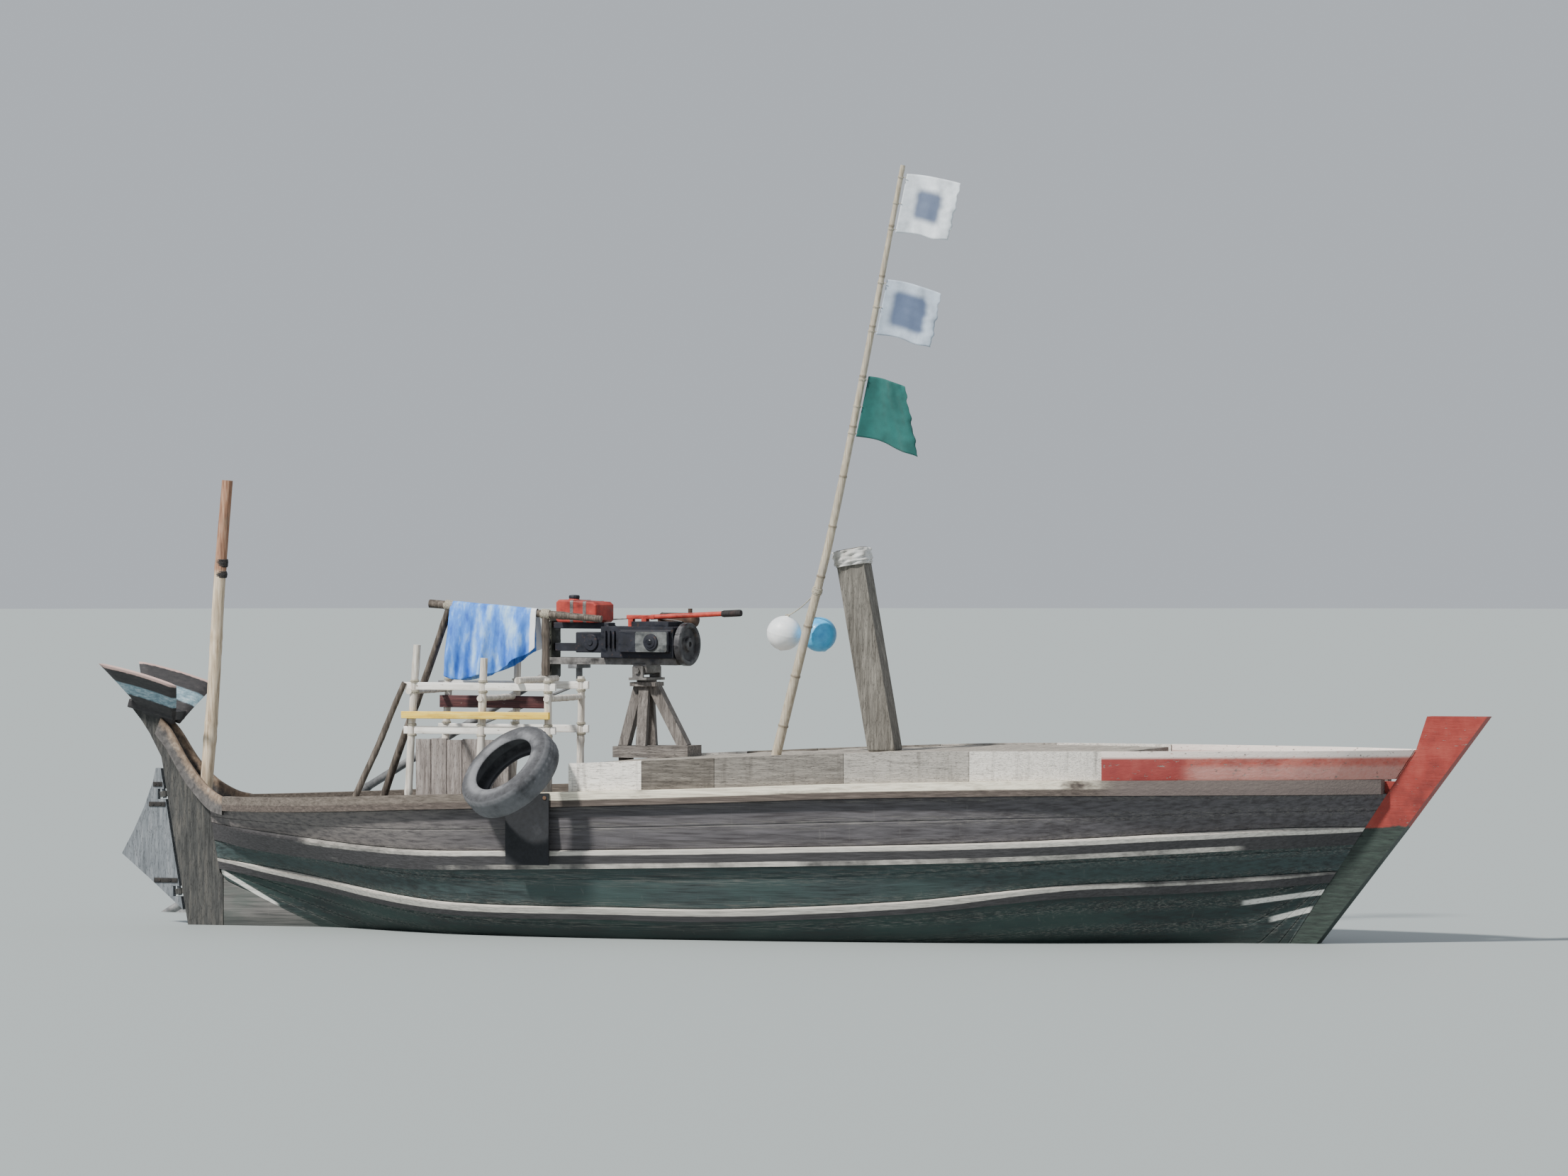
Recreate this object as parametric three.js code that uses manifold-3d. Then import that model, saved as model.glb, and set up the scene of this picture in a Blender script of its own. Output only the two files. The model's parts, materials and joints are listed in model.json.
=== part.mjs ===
// A wooden longtail fishing boat, afloat: plank hull with a raked stem and an upswept stern, hold deck,
// awning rack, flag staff, rudder, and a swivelling engine with a long propeller shaft on the port side.
// Millimetres. X points to the bow, Y to port, Z up. The origin is on the waterline at the hull's middle.
import * as THREE from 'three';
import { mergeVertices } from 'three/addons/utils/BufferGeometryUtils.js';
import Module from 'manifold-3d';

const wasm = await Module();
wasm.setup();

// Driving dimensions of the hull
const PLANK = 28;
const GAP = 0.3;
const KEEL_HALF = 45;
const KEEL_BOTTOM = -420;
const STEM_HALF = 60;
const POST_HALF = 50;
const RAIL_DEPTH = 85;
const RAIL_PROUD = 50;
const WALE_DEPTH = 100;
const WALE_PROUD = 38;
const LOWER_WALE_DEPTH = 62;
const LOWER_WALE_PROUD = 26;
const HOLD_AFT = -1050;
const HOLD_FORE = 2080;
const RUDDER_RAKE = 0.17;
const STEM_RAKE = 0.66;
const STEM_FOOT = 3000;

// Hull sections: each row's Bezier goes from the keel to the sheer. "out" and "up" are the two handles as
// fractions of the half beam and of the depth.
const STATION_COLUMNS = ['x', 'beam', 'railTop', 'floorOut', 'floorUp', 'bilgeOut', 'bilgeUp'];
const STATIONS = [
  [-3646, 51, 772, 0.15, 0.30, 0.62, 0.62],
  [-3500, 200, 774, 0.15, 0.30, 0.62, 0.62],
  [-3260, 380, 777, 0.12, 0.30, 0.60, 0.60],
  [-2900, 580, 786, 0.18, 0.28, 0.66, 0.55],
  [-2460, 760, 803, 0.32, 0.20, 0.80, 0.46],
  [-1900, 900, 826, 0.50, 0.12, 0.92, 0.38],
  [-1200, 960, 848, 0.60, 0.07, 0.97, 0.32],
  [-300, 980, 880, 0.62, 0.06, 0.98, 0.30],
  [600, 960, 916, 0.56, 0.08, 0.95, 0.33],
  [1500, 880, 937, 0.42, 0.12, 0.88, 0.40],
  [2200, 720, 943, 0.25, 0.20, 0.72, 0.50],
  [2800, 500, 945, 0.10, 0.30, 0.55, 0.62],
  [3200, 320, 945, 0.12, 0.32, 0.56, 0.64],
  [3568, 61, 945, 0.20, 0.33, 0.60, 0.66],
];

// Lines along the hull's side: x, z
const RABBET = [
  [-3660, 771], [-3580, 317], [-3540, 271], [-3155, 93], [-2800, -60], [-2400, -190],
  [-1900, -280], [-1200, -330], [0, -350], [1500, -340], [2300, -310], [2815, -280],
  [STEM_FOOT, 0], [STEM_FOOT + STEM_RAKE * 1200, 1200],
];
const UPPER_WALE = [
  [-3620, 612], [-3350, 588], [-2170, 504], [-1500, 507], [-100, 539], [1550, 591], [2980, 666], [3530, 669],
];
const LOWER_WALE = [
  [-3600, 402], [-2900, 316], [-1950, 201], [-770, 186], [-130, 186], [930, 244], [1810, 338], [2480, 368],
  [3300, 418],
];
const WASHBOARD_TOP = [[HOLD_AFT, 1016], [850, 1097], [HOLD_FORE, 1108], [3700, 1113]];

const NAMED = {
  tarred: ['#2b2c2e', 0.8],
  wornTar: ['#3a3a3b', 0.85],
  greyWood: ['#7d766f', 0.9],
  paleWood: ['#b9a98f', 0.85],
  brownWood: ['#6a5545', 0.85],
  redPaint: ['#b8402d', 0.6],
  bamboo: ['#b0a184', 0.7],
  yellowPaint: ['#e0a93a', 0.6],
  rubber: ['#1d1e20', 0.85],
  blueCloth: ['#4f7fd0', 0.9],
  whiteCloth: ['#c9d2dd', 0.9],
  greenCloth: ['#2f8f76', 0.9],
  whitePlastic: ['#e6edf0', 0.45],
  bluePlastic: ['#3f8fd0', 0.45],
  engineGrey: ['#33363c', 0.55],
  bareSteel: ['#8b8d90', 0.4],
  castBronze: ['#9a7b45', 0.4],
};
const METALS = ['engineGrey', 'bareSteel', 'castBronze'];
const materials = {};
for (const [name, [color, roughness]] of Object.entries(NAMED)) {
  const metalness = METALS.includes(name) ? 0.8 : 0;
  materials[name] = new THREE.MeshStandardMaterial({ name, color, roughness, metalness });
}

const boat = new THREE.Group();
boat.name = 'longtail_boat';

function add(name, geometry, material, parent = boat) {
  const mesh = new THREE.Mesh(geometry, materials[material]);
  mesh.name = name;
  parent.add(mesh);
  return mesh;
}

// Value of a table's column at x, along straight lines between its rows
function straight(table, x, column = 1) {
  let i = 1;
  while (i < table.length - 1 && table[i][0] < x) i += 1;
  const [a, b] = [table[i - 1], table[i]];
  return THREE.MathUtils.mapLinear(x, a[0], b[0], a[column], b[column]);
}

// The same along a smooth cubic, whose slope at each row is that between the row's neighbours
function smooth(table, x, column = 1) {
  let i = 1;
  while (i < table.length - 1 && table[i][0] < x) i += 1;
  const slope = (k) => {
    const [before, after] = [table[Math.max(k - 1, 0)], table[Math.min(k + 1, table.length - 1)]];
    return (after[column] - before[column]) / (after[0] - before[0]);
  };
  const [a, b] = [table[i - 1], table[i]];
  const span = b[0] - a[0];
  const t = THREE.MathUtils.clamp((x - a[0]) / span, 0, 1);
  const rise = b[column] - a[column];
  const [m0, m1] = [slope(i - 1) * span, slope(i) * span];
  return a[column] + t * (m0 + t * (3 * rise - 2 * m0 - m1 + t * (m0 + m1 - 2 * rise)));
}

const station = (name, x) => smooth(STATIONS, x, STATION_COLUMNS.indexOf(name));
const railTop = (x) => station('railTop', x);
const sheer = (x) => railTop(x) - RAIL_DEPTH;
const beam = (x) => Math.max(station('beam', x), POST_HALF + 1);
const rabbet = (x) => straight(RABBET, x);
const stemFace = (z) => STEM_FOOT + STEM_RAKE * z;
const sternFace = (z) => straight(RABBET.slice(0, 5).map(([x, height]) => [height, x]).reverse(), z);

// Half siding of the backbone that the planks' outer faces meet at x
function siding(x) {
  if (x < -3500) return POST_HALF;
  return x > 2815 ? Math.min(KEEL_HALF + GAP + (x - 2815) * 0.15, STEM_HALF) : KEEL_HALF + GAP;
}

// Half siding that the planks' inner faces keep clear of
function clearance(x) {
  if (x < -3500) return POST_HALF - PLANK;
  return x > 2815 ? STEM_HALF - PLANK : KEEL_HALF + GAP;
}

// Point of the section at x, where t runs from 0 at the rabbet to 1 at the sheer
function sectionPoint(x, t) {
  const [low, inner] = [rabbet(x), siding(x)];
  const [wide, deep] = [beam(x) - inner, sheer(x) - low];
  const handle = (out, up) => [inner + station(out, x) * wide, low + station(up, x) * deep];
  const [[y1, z1], [y2, z2]] = [handle('floorOut', 'floorUp'), handle('bilgeOut', 'bilgeUp')];
  const bezier = new THREE.CubicBezierCurve(
    new THREE.Vector2(inner, low), new THREE.Vector2(y1, z1),
    new THREE.Vector2(y2, z2), new THREE.Vector2(inner + wide, low + deep),
  );
  return bezier.getPoint(t);
}

// Half breadth of the planked hull at x and height z
function breadth(x, z) {
  let [low, high] = [0, 1];
  for (let step = 0; step < 24; step += 1) {
    const middle = (low + high) / 2;
    if (sectionPoint(x, middle).y < z) low = middle;
    else high = middle;
  }
  return sectionPoint(x, (low + high) / 2).x;
}

function volume(position, index) {
  let sum = 0;
  const [a, b, c] = [new THREE.Vector3(), new THREE.Vector3(), new THREE.Vector3()];
  for (let i = 0; i < index.length; i += 3) {
    [a, b, c].forEach((corner, k) => corner.fromArray(position, 3 * index[i + k]));
    sum += a.dot(b.cross(c)) / 6;
  }
  return sum;
}

// Closed body between two grids of points: outer[i][j] over inner[i][j]
function shell(outer, inner) {
  const [rows, columns] = [outer.length, outer[0].length];
  const position = [...outer.flat(), ...inner.flat()].flatMap((point) => point.toArray());
  const at = (layer, i, j) => layer * rows * columns + i * columns + j;
  const index = [];
  const quad = (a, b, c, d) => index.push(a, b, c, a, c, d);
  for (let i = 0; i < rows - 1; i += 1) {
    for (let j = 0; j < columns - 1; j += 1) {
      quad(at(0, i, j), at(0, i + 1, j), at(0, i + 1, j + 1), at(0, i, j + 1));
      quad(at(1, i, j), at(1, i, j + 1), at(1, i + 1, j + 1), at(1, i + 1, j));
    }
  }
  for (let i = 0; i < rows - 1; i += 1) {
    quad(at(0, i, 0), at(1, i, 0), at(1, i + 1, 0), at(0, i + 1, 0));
    quad(at(0, i, columns - 1), at(0, i + 1, columns - 1), at(1, i + 1, columns - 1), at(1, i, columns - 1));
  }
  for (let j = 0; j < columns - 1; j += 1) {
    quad(at(0, 0, j), at(0, 0, j + 1), at(1, 0, j + 1), at(1, 0, j));
    quad(at(0, rows - 1, j), at(1, rows - 1, j), at(1, rows - 1, j + 1), at(0, rows - 1, j + 1));
  }
  if (volume(position, index) < 0) index.reverse();
  const geometry = new THREE.BufferGeometry();
  geometry.setAttribute('position', new THREE.Float32BufferAttribute(position, 3));
  geometry.setIndex(index);
  return geometry;
}

const steps = (count) => Array.from({ length: count + 1 }, (_, i) => i / count);
const lerp = THREE.MathUtils.lerp;
const point = (x, y, z) => new THREE.Vector3(x, y, z);

// Manifold solid of a closed geometry, and back
function solid(geometry) {
  const bare = geometry.clone();
  bare.deleteAttribute('normal');
  bare.deleteAttribute('uv');
  const merged = mergeVertices(bare, 1e-3);
  return new wasm.Manifold(new wasm.Mesh({
    numProp: 3,
    vertProperties: new Float32Array(merged.attributes.position.array),
    triVerts: new Uint32Array(merged.index.array),
  }));
}

function geometryOf(manifold) {
  const mesh = manifold.getMesh();
  const geometry = new THREE.BufferGeometry();
  geometry.setAttribute('position', new THREE.Float32BufferAttribute(mesh.vertProperties, 3));
  geometry.setIndex(new THREE.Uint32BufferAttribute(mesh.triVerts, 1));
  return geometry;
}

// The largest of the bodies that a cut leaves
function largest(manifold) {
  return manifold.decompose().reduce((best, body) => (body.volume() > best.volume() ? body : best));
}

const fuse = (...geometries) => geometryOf(geometries.map(solid).reduce((whole, next) => whole.add(next)));
function cut(geometry, ...tools) {
  return geometryOf(largest(tools.map(solid).reduce((rest, tool) => rest.subtract(tool), solid(geometry))));
}

// Flat outline of x, z points made a board between two values of y
function sideBoard(outline, yLow, yHigh) {
  const shape = new THREE.Shape(outline.map(([x, z]) => new THREE.Vector2(x, z)));
  const geometry = new THREE.ExtrudeGeometry(shape, { depth: yHigh - yLow, bevelEnabled: false });
  return geometry.rotateX(Math.PI / 2).translate(0, yHigh, 0);
}

// Flat outline of y, z points made a board between two values of x
function crossBoard(outline, xLow, xHigh) {
  const shape = new THREE.Shape(outline.map(([y, z]) => new THREE.Vector2(y, z)));
  const geometry = new THREE.ExtrudeGeometry(shape, { depth: xHigh - xLow, bevelEnabled: false });
  return geometry.applyMatrix4(new THREE.Matrix4().set(0, 0, 1, xLow, 1, 0, 0, 0, 0, 1, 0, 0, 0, 0, 0, 1));
}

const box = ([x0, x1], [y0, y1], [z0, z1]) => new THREE.BoxGeometry(x1 - x0, y1 - y0, z1 - z0)
  .translate((x0 + x1) / 2, (y0 + y1) / 2, (z0 + z1) / 2);

// Round or tapered pole between two points
function pole(from, to, radiusFrom, radiusTo = radiusFrom, sides = 10) {
  const [a, b] = [point(...from), point(...to)];
  const along = b.clone().sub(a);
  const geometry = new THREE.CylinderGeometry(radiusTo, radiusFrom, along.length(), sides);
  const turn = new THREE.Quaternion().setFromUnitVectors(point(0, 1, 0), along.clone().normalize());
  geometry.applyQuaternion(turn);
  return geometry.translate(...a.add(b).multiplyScalar(0.5).toArray());
}

// Squared bar between two points, "wide" across and "deep" at a right angle to both
function bar(from, to, wide, deep) {
  const [a, b] = [point(...from), point(...to)];
  const along = b.clone().sub(a);
  const length = along.length();
  along.normalize();
  const side = Math.abs(along.y) > 0.9 ? point(1, 0, 0) : point(0, 1, 0);
  const upward = along.clone().cross(side).normalize();
  side.crossVectors(upward, along);
  const basis = new THREE.Matrix4().makeBasis(along, side, upward);
  return new THREE.BoxGeometry(length, wide, deep).applyMatrix4(basis)
    .translate(...a.add(b).multiplyScalar(0.5).toArray());
}

// Planking: strips between lines along the hull, from the stern's rabbet to the stem's. All strips have
// their ribs of facets at the same places, so that neighbours meet face to face.
const ROWS = 18;
const spread = (u) => (1 - Math.cos(Math.PI * u)) / 4 + u / 2;
function lineEnds(height, endGap) {
  const meet = (face, start) => Array.from({ length: 30 }).reduce((x) => face(height(x)), start);
  return [meet(sternFace, -3500) + endGap, meet(stemFace, 2900) - endGap];
}

function stripGrid(side, lines, offset, endGap = GAP) {
  const ends = lines.map((height) => lineEnds(height, endGap));
  return steps(ROWS).map((u) => lines.map((height, k) => {
    const x = lerp(...ends[k], spread(u));
    const z = Math.max(height(x), rabbet(x) + 0.1);
    const y = breadth(x, z);
    const alongX = (breadth(x + 20, z) - breadth(x - 20, z)) / 40;
    const rise = sheer(x) - rabbet(x) > 80 ? 12 : 4;
    const upZ = (breadth(x, z + rise) - y) / rise;
    const out = point(x, y, z).addScaledVector(point(-alongX, 1, -upZ).normalize(), offset(u));
    out.x = THREE.MathUtils.clamp(out.x, sternFace(height(x)) + endGap, stemFace(height(x)) - endGap);
    const innermost = clearance(out.x) + Math.min(offset(u) + PLANK, 0);
    out.y = side * Math.max(out.y, innermost);
    if (height === sheerEdge) out.z = Math.min(out.z, z);
    return out;
  }));
}

const sheerEdge = (x) => sheer(x) - GAP;
const strip = (side, lines, outerOffset, innerOffset, endGap) => (
  shell(stripGrid(side, lines, outerOffset, endGap), stripGrid(side, lines, innerOffset, endGap))
);

const upperWale = (x) => smooth(UPPER_WALE, x);
const lowerWale = (x) => smooth(LOWER_WALE, x);
const lift = (line, dz) => (x) => line(x) + dz;
const taper = (proud) => (u) => lerp(6, proud, THREE.MathUtils.smoothstep(Math.min(u, 1 - u), 0, 0.09));
const sides = [['port', 1], ['starboard', -1]];

const between = (low, high, t) => (x) => lerp(low(x), high(x), t);
const lowerWaleFoot = lift(lowerWale, -LOWER_WALE_DEPTH);
const upperWaleFoot = lift(upperWale, -WALE_DEPTH);
const bottomLines = [0, 0.16, 0.34, 0.55, 0.78, 1].map((t) => between(rabbet, lowerWaleFoot, t));
const PLANK_LINES = {
  bottom_planking: [...bottomLines, lift(lowerWale, -GAP)],
  side_strake: [lowerWale, upperWaleFoot, lift(upperWale, -GAP)],
  sheer_strake: [upperWale, sheerEdge],
};
const PLANK_FINISH = { bottom_planking: 'tarred', side_strake: 'wornTar', sheer_strake: 'tarred' };
for (const [hand, side] of sides) {
  for (const [name, lines] of Object.entries(PLANK_LINES)) {
    add(`${name}_${hand}`, strip(side, lines, () => 0, () => -PLANK), PLANK_FINISH[name]);
  }
  const wale = (foot, top, proud) => strip(side, [foot, top], taper(proud), () => GAP);
  add(`wale_upper_${hand}`, wale(upperWaleFoot, lift(upperWale, -GAP), WALE_PROUD), 'wornTar');
  add(`wale_lower_${hand}`, wale(lowerWaleFoot, lift(lowerWale, -GAP), LOWER_WALE_PROUD), 'wornTar');
}

// What the planks fill, and a hair more inside: inner pieces are cut to it
const CUT_CLEAR = 0.6;
const hullCutters = sides.flatMap(([, side]) => Object.values(PLANK_LINES).map((lines) => {
  const grown = lines.map((line, i) => (i === lines.length - 1 ? lift(line, 2 * GAP) : line));
  return strip(side, grown, () => 1, () => -PLANK - CUT_CLEAR);
}));

// Places of the facets along the sheer, and a line made straight between them
const sheerEnds = lineEnds(sheerEdge, GAP);
const NODES = steps(ROWS).map((u) => lerp(...sheerEnds, spread(u)));
const faceted = (line) => (x) => straight(NODES.map((node) => [node, line(node)]), x);
const placesBetween = (aft, fore) => [aft, ...NODES.filter((x) => x > aft + 20 && x < fore - 20), fore];

// A band that follows the plan of the sheer: inner and outer distance from the beam, bottom and top lines
function band(side, [aft, fore], [inner, outer], lines, plan = (x) => beam(x)) {
  const places = placesBetween(aft, typeof fore === 'function' ? fore(lines[0](3600)) : fore);
  const last = places[places.length - 1];
  const edge = (distance) => places.map((place) => lines.map((line) => {
    const reach = typeof fore === 'function' ? fore(line(3600)) : fore;
    const x = lerp(aft, reach, (place - aft) / (last - aft));
    const z = faceted(line)(x);
    return point(x, side * Math.max(faceted((node) => plan(node, z))(x) + distance, 12), z);
  }));
  return shell(edge(outer), edge(inner));
}

// Plan of the boards above the rail, which lean forward with the stem
function rakedBeam(x, z) {
  return beam(x - STEM_RAKE * THREE.MathUtils.smoothstep(x, 1500, 3300) * (z - sheer(x)));
}

const RAIL_AFT = -3480;
const RAIL_FORE = 3548;
const washTop = (x) => smooth(WASHBOARD_TOP, x);
for (const [hand, side] of sides) {
  const rail = band(side, [RAIL_AFT, RAIL_FORE], [-PLANK - 12, RAIL_PROUD], [sheer, railTop]);
  add(`gunwale_rail_${hand}`, rail, 'brownWood');
  const board = [lift(railTop, GAP), washTop];
  add(`washboard_${hand}`, band(side, [HOLD_AFT, HOLD_FORE - GAP], [-30, 5], board), 'paleWood');
  const foreEnd = (z) => stemFace(z) - 6;
  const bulwark = band(side, [HOLD_FORE, foreEnd], [-30, 5], board, rakedBeam);
  add(`bow_bulwark_${hand}`, bulwark, 'redPaint');
}

// Backbone: keel with its deadwood, stem and sternpost
const KEEL_AFT = -3560;
const KEEL_FORE = 2700;
const HOG = PLANK;
const keelTop = RABBET.filter(([x]) => x > -3200 && x < KEEL_FORE).map(([x, z]) => [x, z + HOG]);
const keelOutline = [
  [KEEL_AFT, KEEL_BOTTOM], [KEEL_FORE, KEEL_BOTTOM], [KEEL_FORE, rabbet(KEEL_FORE) + HOG],
  ...keelTop.reverse(), [-3430, rabbet(-3430) - 1], [-3540, 270], [KEEL_AFT, rabbet(KEEL_AFT) - 1],
];
add('keel', sideBoard(keelOutline, -KEEL_HALF, KEEL_HALF), 'greyWood');

const stemAt = (z, dx = 0) => [stemFace(z) + dx, z];
const stemOutline = [
  [KEEL_FORE + GAP, KEEL_BOTTOM], [2810, -412], [2910, -350], [3010, -205], [3153, 0], [3675, 669],
  [4150, 1303], [3800, 1303], [3738, 1118], stemAt(1100), stemAt(0), stemAt(-280), [KEEL_FORE + GAP, -288],
];
const apronOutline = [stemAt(-150, 5), stemAt(930, 5), stemAt(930, -90), stemAt(-150, -70)];
const apron = sideBoard(apronOutline, GAP - STEM_HALF + PLANK, STEM_HALF - PLANK - GAP);
add('stem', fuse(sideBoard(stemOutline, -STEM_HALF, STEM_HALF), apron), 'redPaint');

const postAft = (z) => -3785 - RUDDER_RAKE * z;
const postOutline = [
  [KEEL_AFT - GAP, KEEL_BOTTOM], [KEEL_AFT - GAP, 293], [-3580, 317], [-3660, 771], [-3720, 840],
  [-3840, 1020], [-3930, 1180], [-3985, 1262], [-4125, 1345], [-4160, 1310], [-4085, 1220],
  [-4030, 1140], [postAft(1000), 1000], [postAft(KEEL_BOTTOM), KEEL_BOTTOM],
];

// Rudder irons: straps on the post carry rings round the pins' line, and the pins stand on the rudder's irons
const RUDDER_AXIS_OUT = 40;
const IRONS = [180, 760];
const rudderAxis = (z) => point(postAft(z) - RUDDER_AXIS_OUT, 0, z);
const rudderLean = Math.atan(RUDDER_RAKE);
const alongAxis = (z, height) => {
  const start = rudderAxis(z);
  return start.clone().add(point(-Math.sin(rudderLean), 0, Math.cos(rudderLean)).multiplyScalar(height));
};
function ring(z) {
  const eye = pole(rudderAxis(z).toArray(), alongAxis(z, 34).toArray(), 26, 26, 14);
  const hole = pole(alongAxis(z, -5).toArray(), alongAxis(z, 40).toArray(), 15, 15, 14);
  const tongue = box([postAft(z) - 22, postAft(z) + 60], [-14, 14], [z + 2, z + 30]);
  const strap = (y) => box([postAft(z) - 4, postAft(z) + 130], [y - 5, y + 5], [z - 6, z + 38]);
  const pieces = [eye, tongue, strap(POST_HALF + 4), strap(-POST_HALF - 4)];
  return cut(fuse(...pieces), hole);
}
const post = sideBoard(postOutline, -POST_HALF, POST_HALF);
add('sternpost', fuse(post, ...IRONS.map(ring)), 'greyWood');

// Upswept stern: rails that climb from the gunwale to the neck, and the flared crest on the post's head
// Horn sections: x, outer y, upper z, lower x, lower z
const HORN = [
  [-3484, 258, 774, -3484, 664], [-3560, 192, 800, -3590, 690], [-3665, 138, 872, -3690, 762],
  [-3770, 105, 990, -3800, 880], [-3872, 88, 1150, -3905, 1040], [-3945, 84, 1235, -3985, 1140],
];
const HORN_THICK = 33;
for (const [hand, side] of sides) {
  const hornGrid = (inset) => HORN.map(([x, y, z, lowX, lowZ]) => {
    const width = Math.max(y - inset, POST_HALF + GAP);
    return [point(lowX, side * width, lowZ), point(x, side * width, z)];
  });
  add(`stern_horn_${hand}`, shell(hornGrid(0), hornGrid(HORN_THICK)), 'brownWood');
}

// The crest: two wings that flare outwards from a block on the post's head
const CREST_THICK = 34;
const WING = {
  topAft: [-4250, 330, 1564],
  topFore: [-3750, 330, 1432],
  footAft: [-4080, 62, 1262],
  footFore: [-3872, 62, 1190],
};
function wing(side) {
  const corner = ([x, y, z], inward) => point(x, side * (y - inward), z + inward * 0.55);
  const face = (inward) => [[WING.footAft, WING.topAft], [WING.footFore, WING.topFore]]
    .map((edge) => edge.map((p) => corner(p, inward)));
  return shell(face(0), face(CREST_THICK));
}
const crestFloor = shell(
  [[point(-4130, -84, 1290), point(-4130, 84, 1290)], [point(-3868, -84, 1222), point(-3868, 84, 1222)]],
  [[point(-4150, -110, 1350), point(-4150, 110, 1350)], [point(-3862, -110, 1262), point(-3862, 110, 1262)]],
);
const crestWhole = fuse(wing(1), wing(-1), crestFloor);
const postClear = sideBoard(postOutline, -POST_HALF - GAP, POST_HALF + GAP).translate(0, 0, GAP);
const hornClear = HORN.slice(-3).map(([x, y, z, lowX, lowZ]) => [[x, z + 1], [lowX, lowZ]]);
const hornOutline = [...hornClear.map((pair) => pair[0]), ...hornClear.map((pair) => pair[1]).reverse()];
const hornBlock = sideBoard(hornOutline, -90, 90).translate(0, 0, GAP);
add('stern_crest', cut(crestWhole, postClear, hornBlock), 'tarred');

// Outline of the hull's inside at x, from port to starboard, "inset" clear of the planks' outer face
function insideOutline(x, inset, top, count = 10) {
  const half = steps(count).map((t) => {
    const p = sectionPoint(x, t);
    const q = sectionPoint(x, Math.min(t + 0.02, 1)).sub(sectionPoint(x, Math.max(t - 0.02, 0))).normalize();
    return [Math.max(p.x - q.y * inset, KEEL_HALF + 2), p.y + q.x * inset];
  }).filter(([, z]) => z < top);
  const last = half[half.length - 1];
  half.push([last[0] + (breadth(x, top) - breadth(x, last[1])), top]);
  return half;
}

// A filled cross outline: bulkhead or rib blank
const mirrored = (half) => [...half.map(([y, z]) => [-y, z]).reverse(), ...half];

// Cockpit ribs with their floors, on a keelson
const RIB_WIDTH = 45;
const RIB_DEPTH = 52;
const ribPlaces = Array.from({ length: 7 }, (_, i) => -3100 + 290 * i);
function rib(x) {
  const top = sheer(x) - 12;
  const outer = insideOutline(x, PLANK / 2, top);
  const inner = insideOutline(x, PLANK + RIB_DEPTH, top).filter(([, z]) => z > outer[0][1] + RIB_DEPTH);
  const floorTop = Math.max(rabbet(x) + 165, -90);
  const room = inner.filter(([, z]) => z > floorTop);
  const bench = [[room[0][0], floorTop], ...room];
  const outline = [...mirrored(outer), ...mirrored(bench).reverse()];
  return crossBoard(outline, x, x + RIB_WIDTH);
}
const keelsonOutline = [
  ...ribPlaces.map((x) => [x + 4, rabbet(x) + 10]), ...ribPlaces.map((x) => [x + 4, rabbet(x) + 92]).reverse(),
];
const KEEL_CLEAR = 4;
const keelLifted = keelOutline.map(([x, z]) => [x, z + KEEL_CLEAR]);
const keelCutter = sideBoard(keelLifted, -KEEL_HALF - KEEL_CLEAR, KEEL_HALF + KEEL_CLEAR);
const frames = fuse(sideBoard(keelsonOutline, -42, 42), ...ribPlaces.map(rib));
add('cockpit_frames', cut(frames, keelCutter, ...hullCutters), 'greyWood');

// Sole boards on the floors, with battens under them
const SOLE = { top: -30, thick: 24, pitch: 172, halfBoard: 80 };
const soleBoards = [-2, -1, 0, 1, 2].map((k) => {
  const edges = [k * SOLE.pitch - SOLE.halfBoard, k * SOLE.pitch + SOLE.halfBoard];
  return box([-1880, -1090], edges, [SOLE.top - SOLE.thick, SOLE.top]);
});
const soleBattens = [-1850, -1520, -1220].map((x) => (
  box([x, x + 60], [-430, 430], [SOLE.top - 2 * SOLE.thick, SOLE.top - SOLE.thick + 1])
));
add('sole_boards', cut(fuse(...soleBoards, ...soleBattens), ...hullCutters), 'greyWood');

// Thwarts between the ribs, cut to the hull's inside
const THWART_TOP = 620;
const THWART_THICK = 38;
const THWARTS = {
  thwart_aft: [-2758, -2572],
  thwart_rack: [-2178, -2062],
  thwart_middle: [-1756, -1656],
  thwart_engine: [-1308, -1196],
};
for (const [name, [aft, fore]] of Object.entries(THWARTS)) {
  const half = breadth(aft, THWART_TOP - THWART_THICK) - PLANK / 2;
  const board = box([aft, fore], [-half, half], [THWART_TOP - THWART_THICK, THWART_TOP]);
  add(name, cut(board, ...hullCutters), 'greyWood');
}

// Decks: a slab under a line, between the sides
function deck(aft, fore, top, thick, halfWidth) {
  const face = (drop) => placesBetween(aft, fore).map((x) => (
    [-1, 1].map((side) => point(x, side * faceted(halfWidth)(x), faceted(top)(x) - drop))
  ));
  return shell(face(0), face(thick));
}
const DECK_THICK = 26;
const holdTop = lift(washTop, -12);
const FOREDECK_FORE = 3490;
const foredeckTop = lift(railTop, 30);
const underRail = lift(railTop, -RAIL_DEPTH - 12);
add('hold_deck', deck(HOLD_AFT, HOLD_FORE - 30, holdTop, DECK_THICK, (x) => beam(x) - 31), 'paleWood');
const foredeckHalf = (x) => rakedBeam(x, foredeckTop(x)) - 44;
const foredeckBoards = deck(HOLD_FORE - 28, FOREDECK_FORE, foredeckTop, DECK_THICK, foredeckHalf);
const stepHeights = [foredeckTop(HOLD_FORE) - 10, washTop(HOLD_FORE) - 14];
const foredeckStep = box([HOLD_FORE - 28, HOLD_FORE - 4], [-680, 680], stepHeights);
add('foredeck', fuse(foredeckBoards, foredeckStep), 'greyWood');
const sternDeckWidth = (x) => breadth(x, underRail(x) - 24) - 46;
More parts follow.
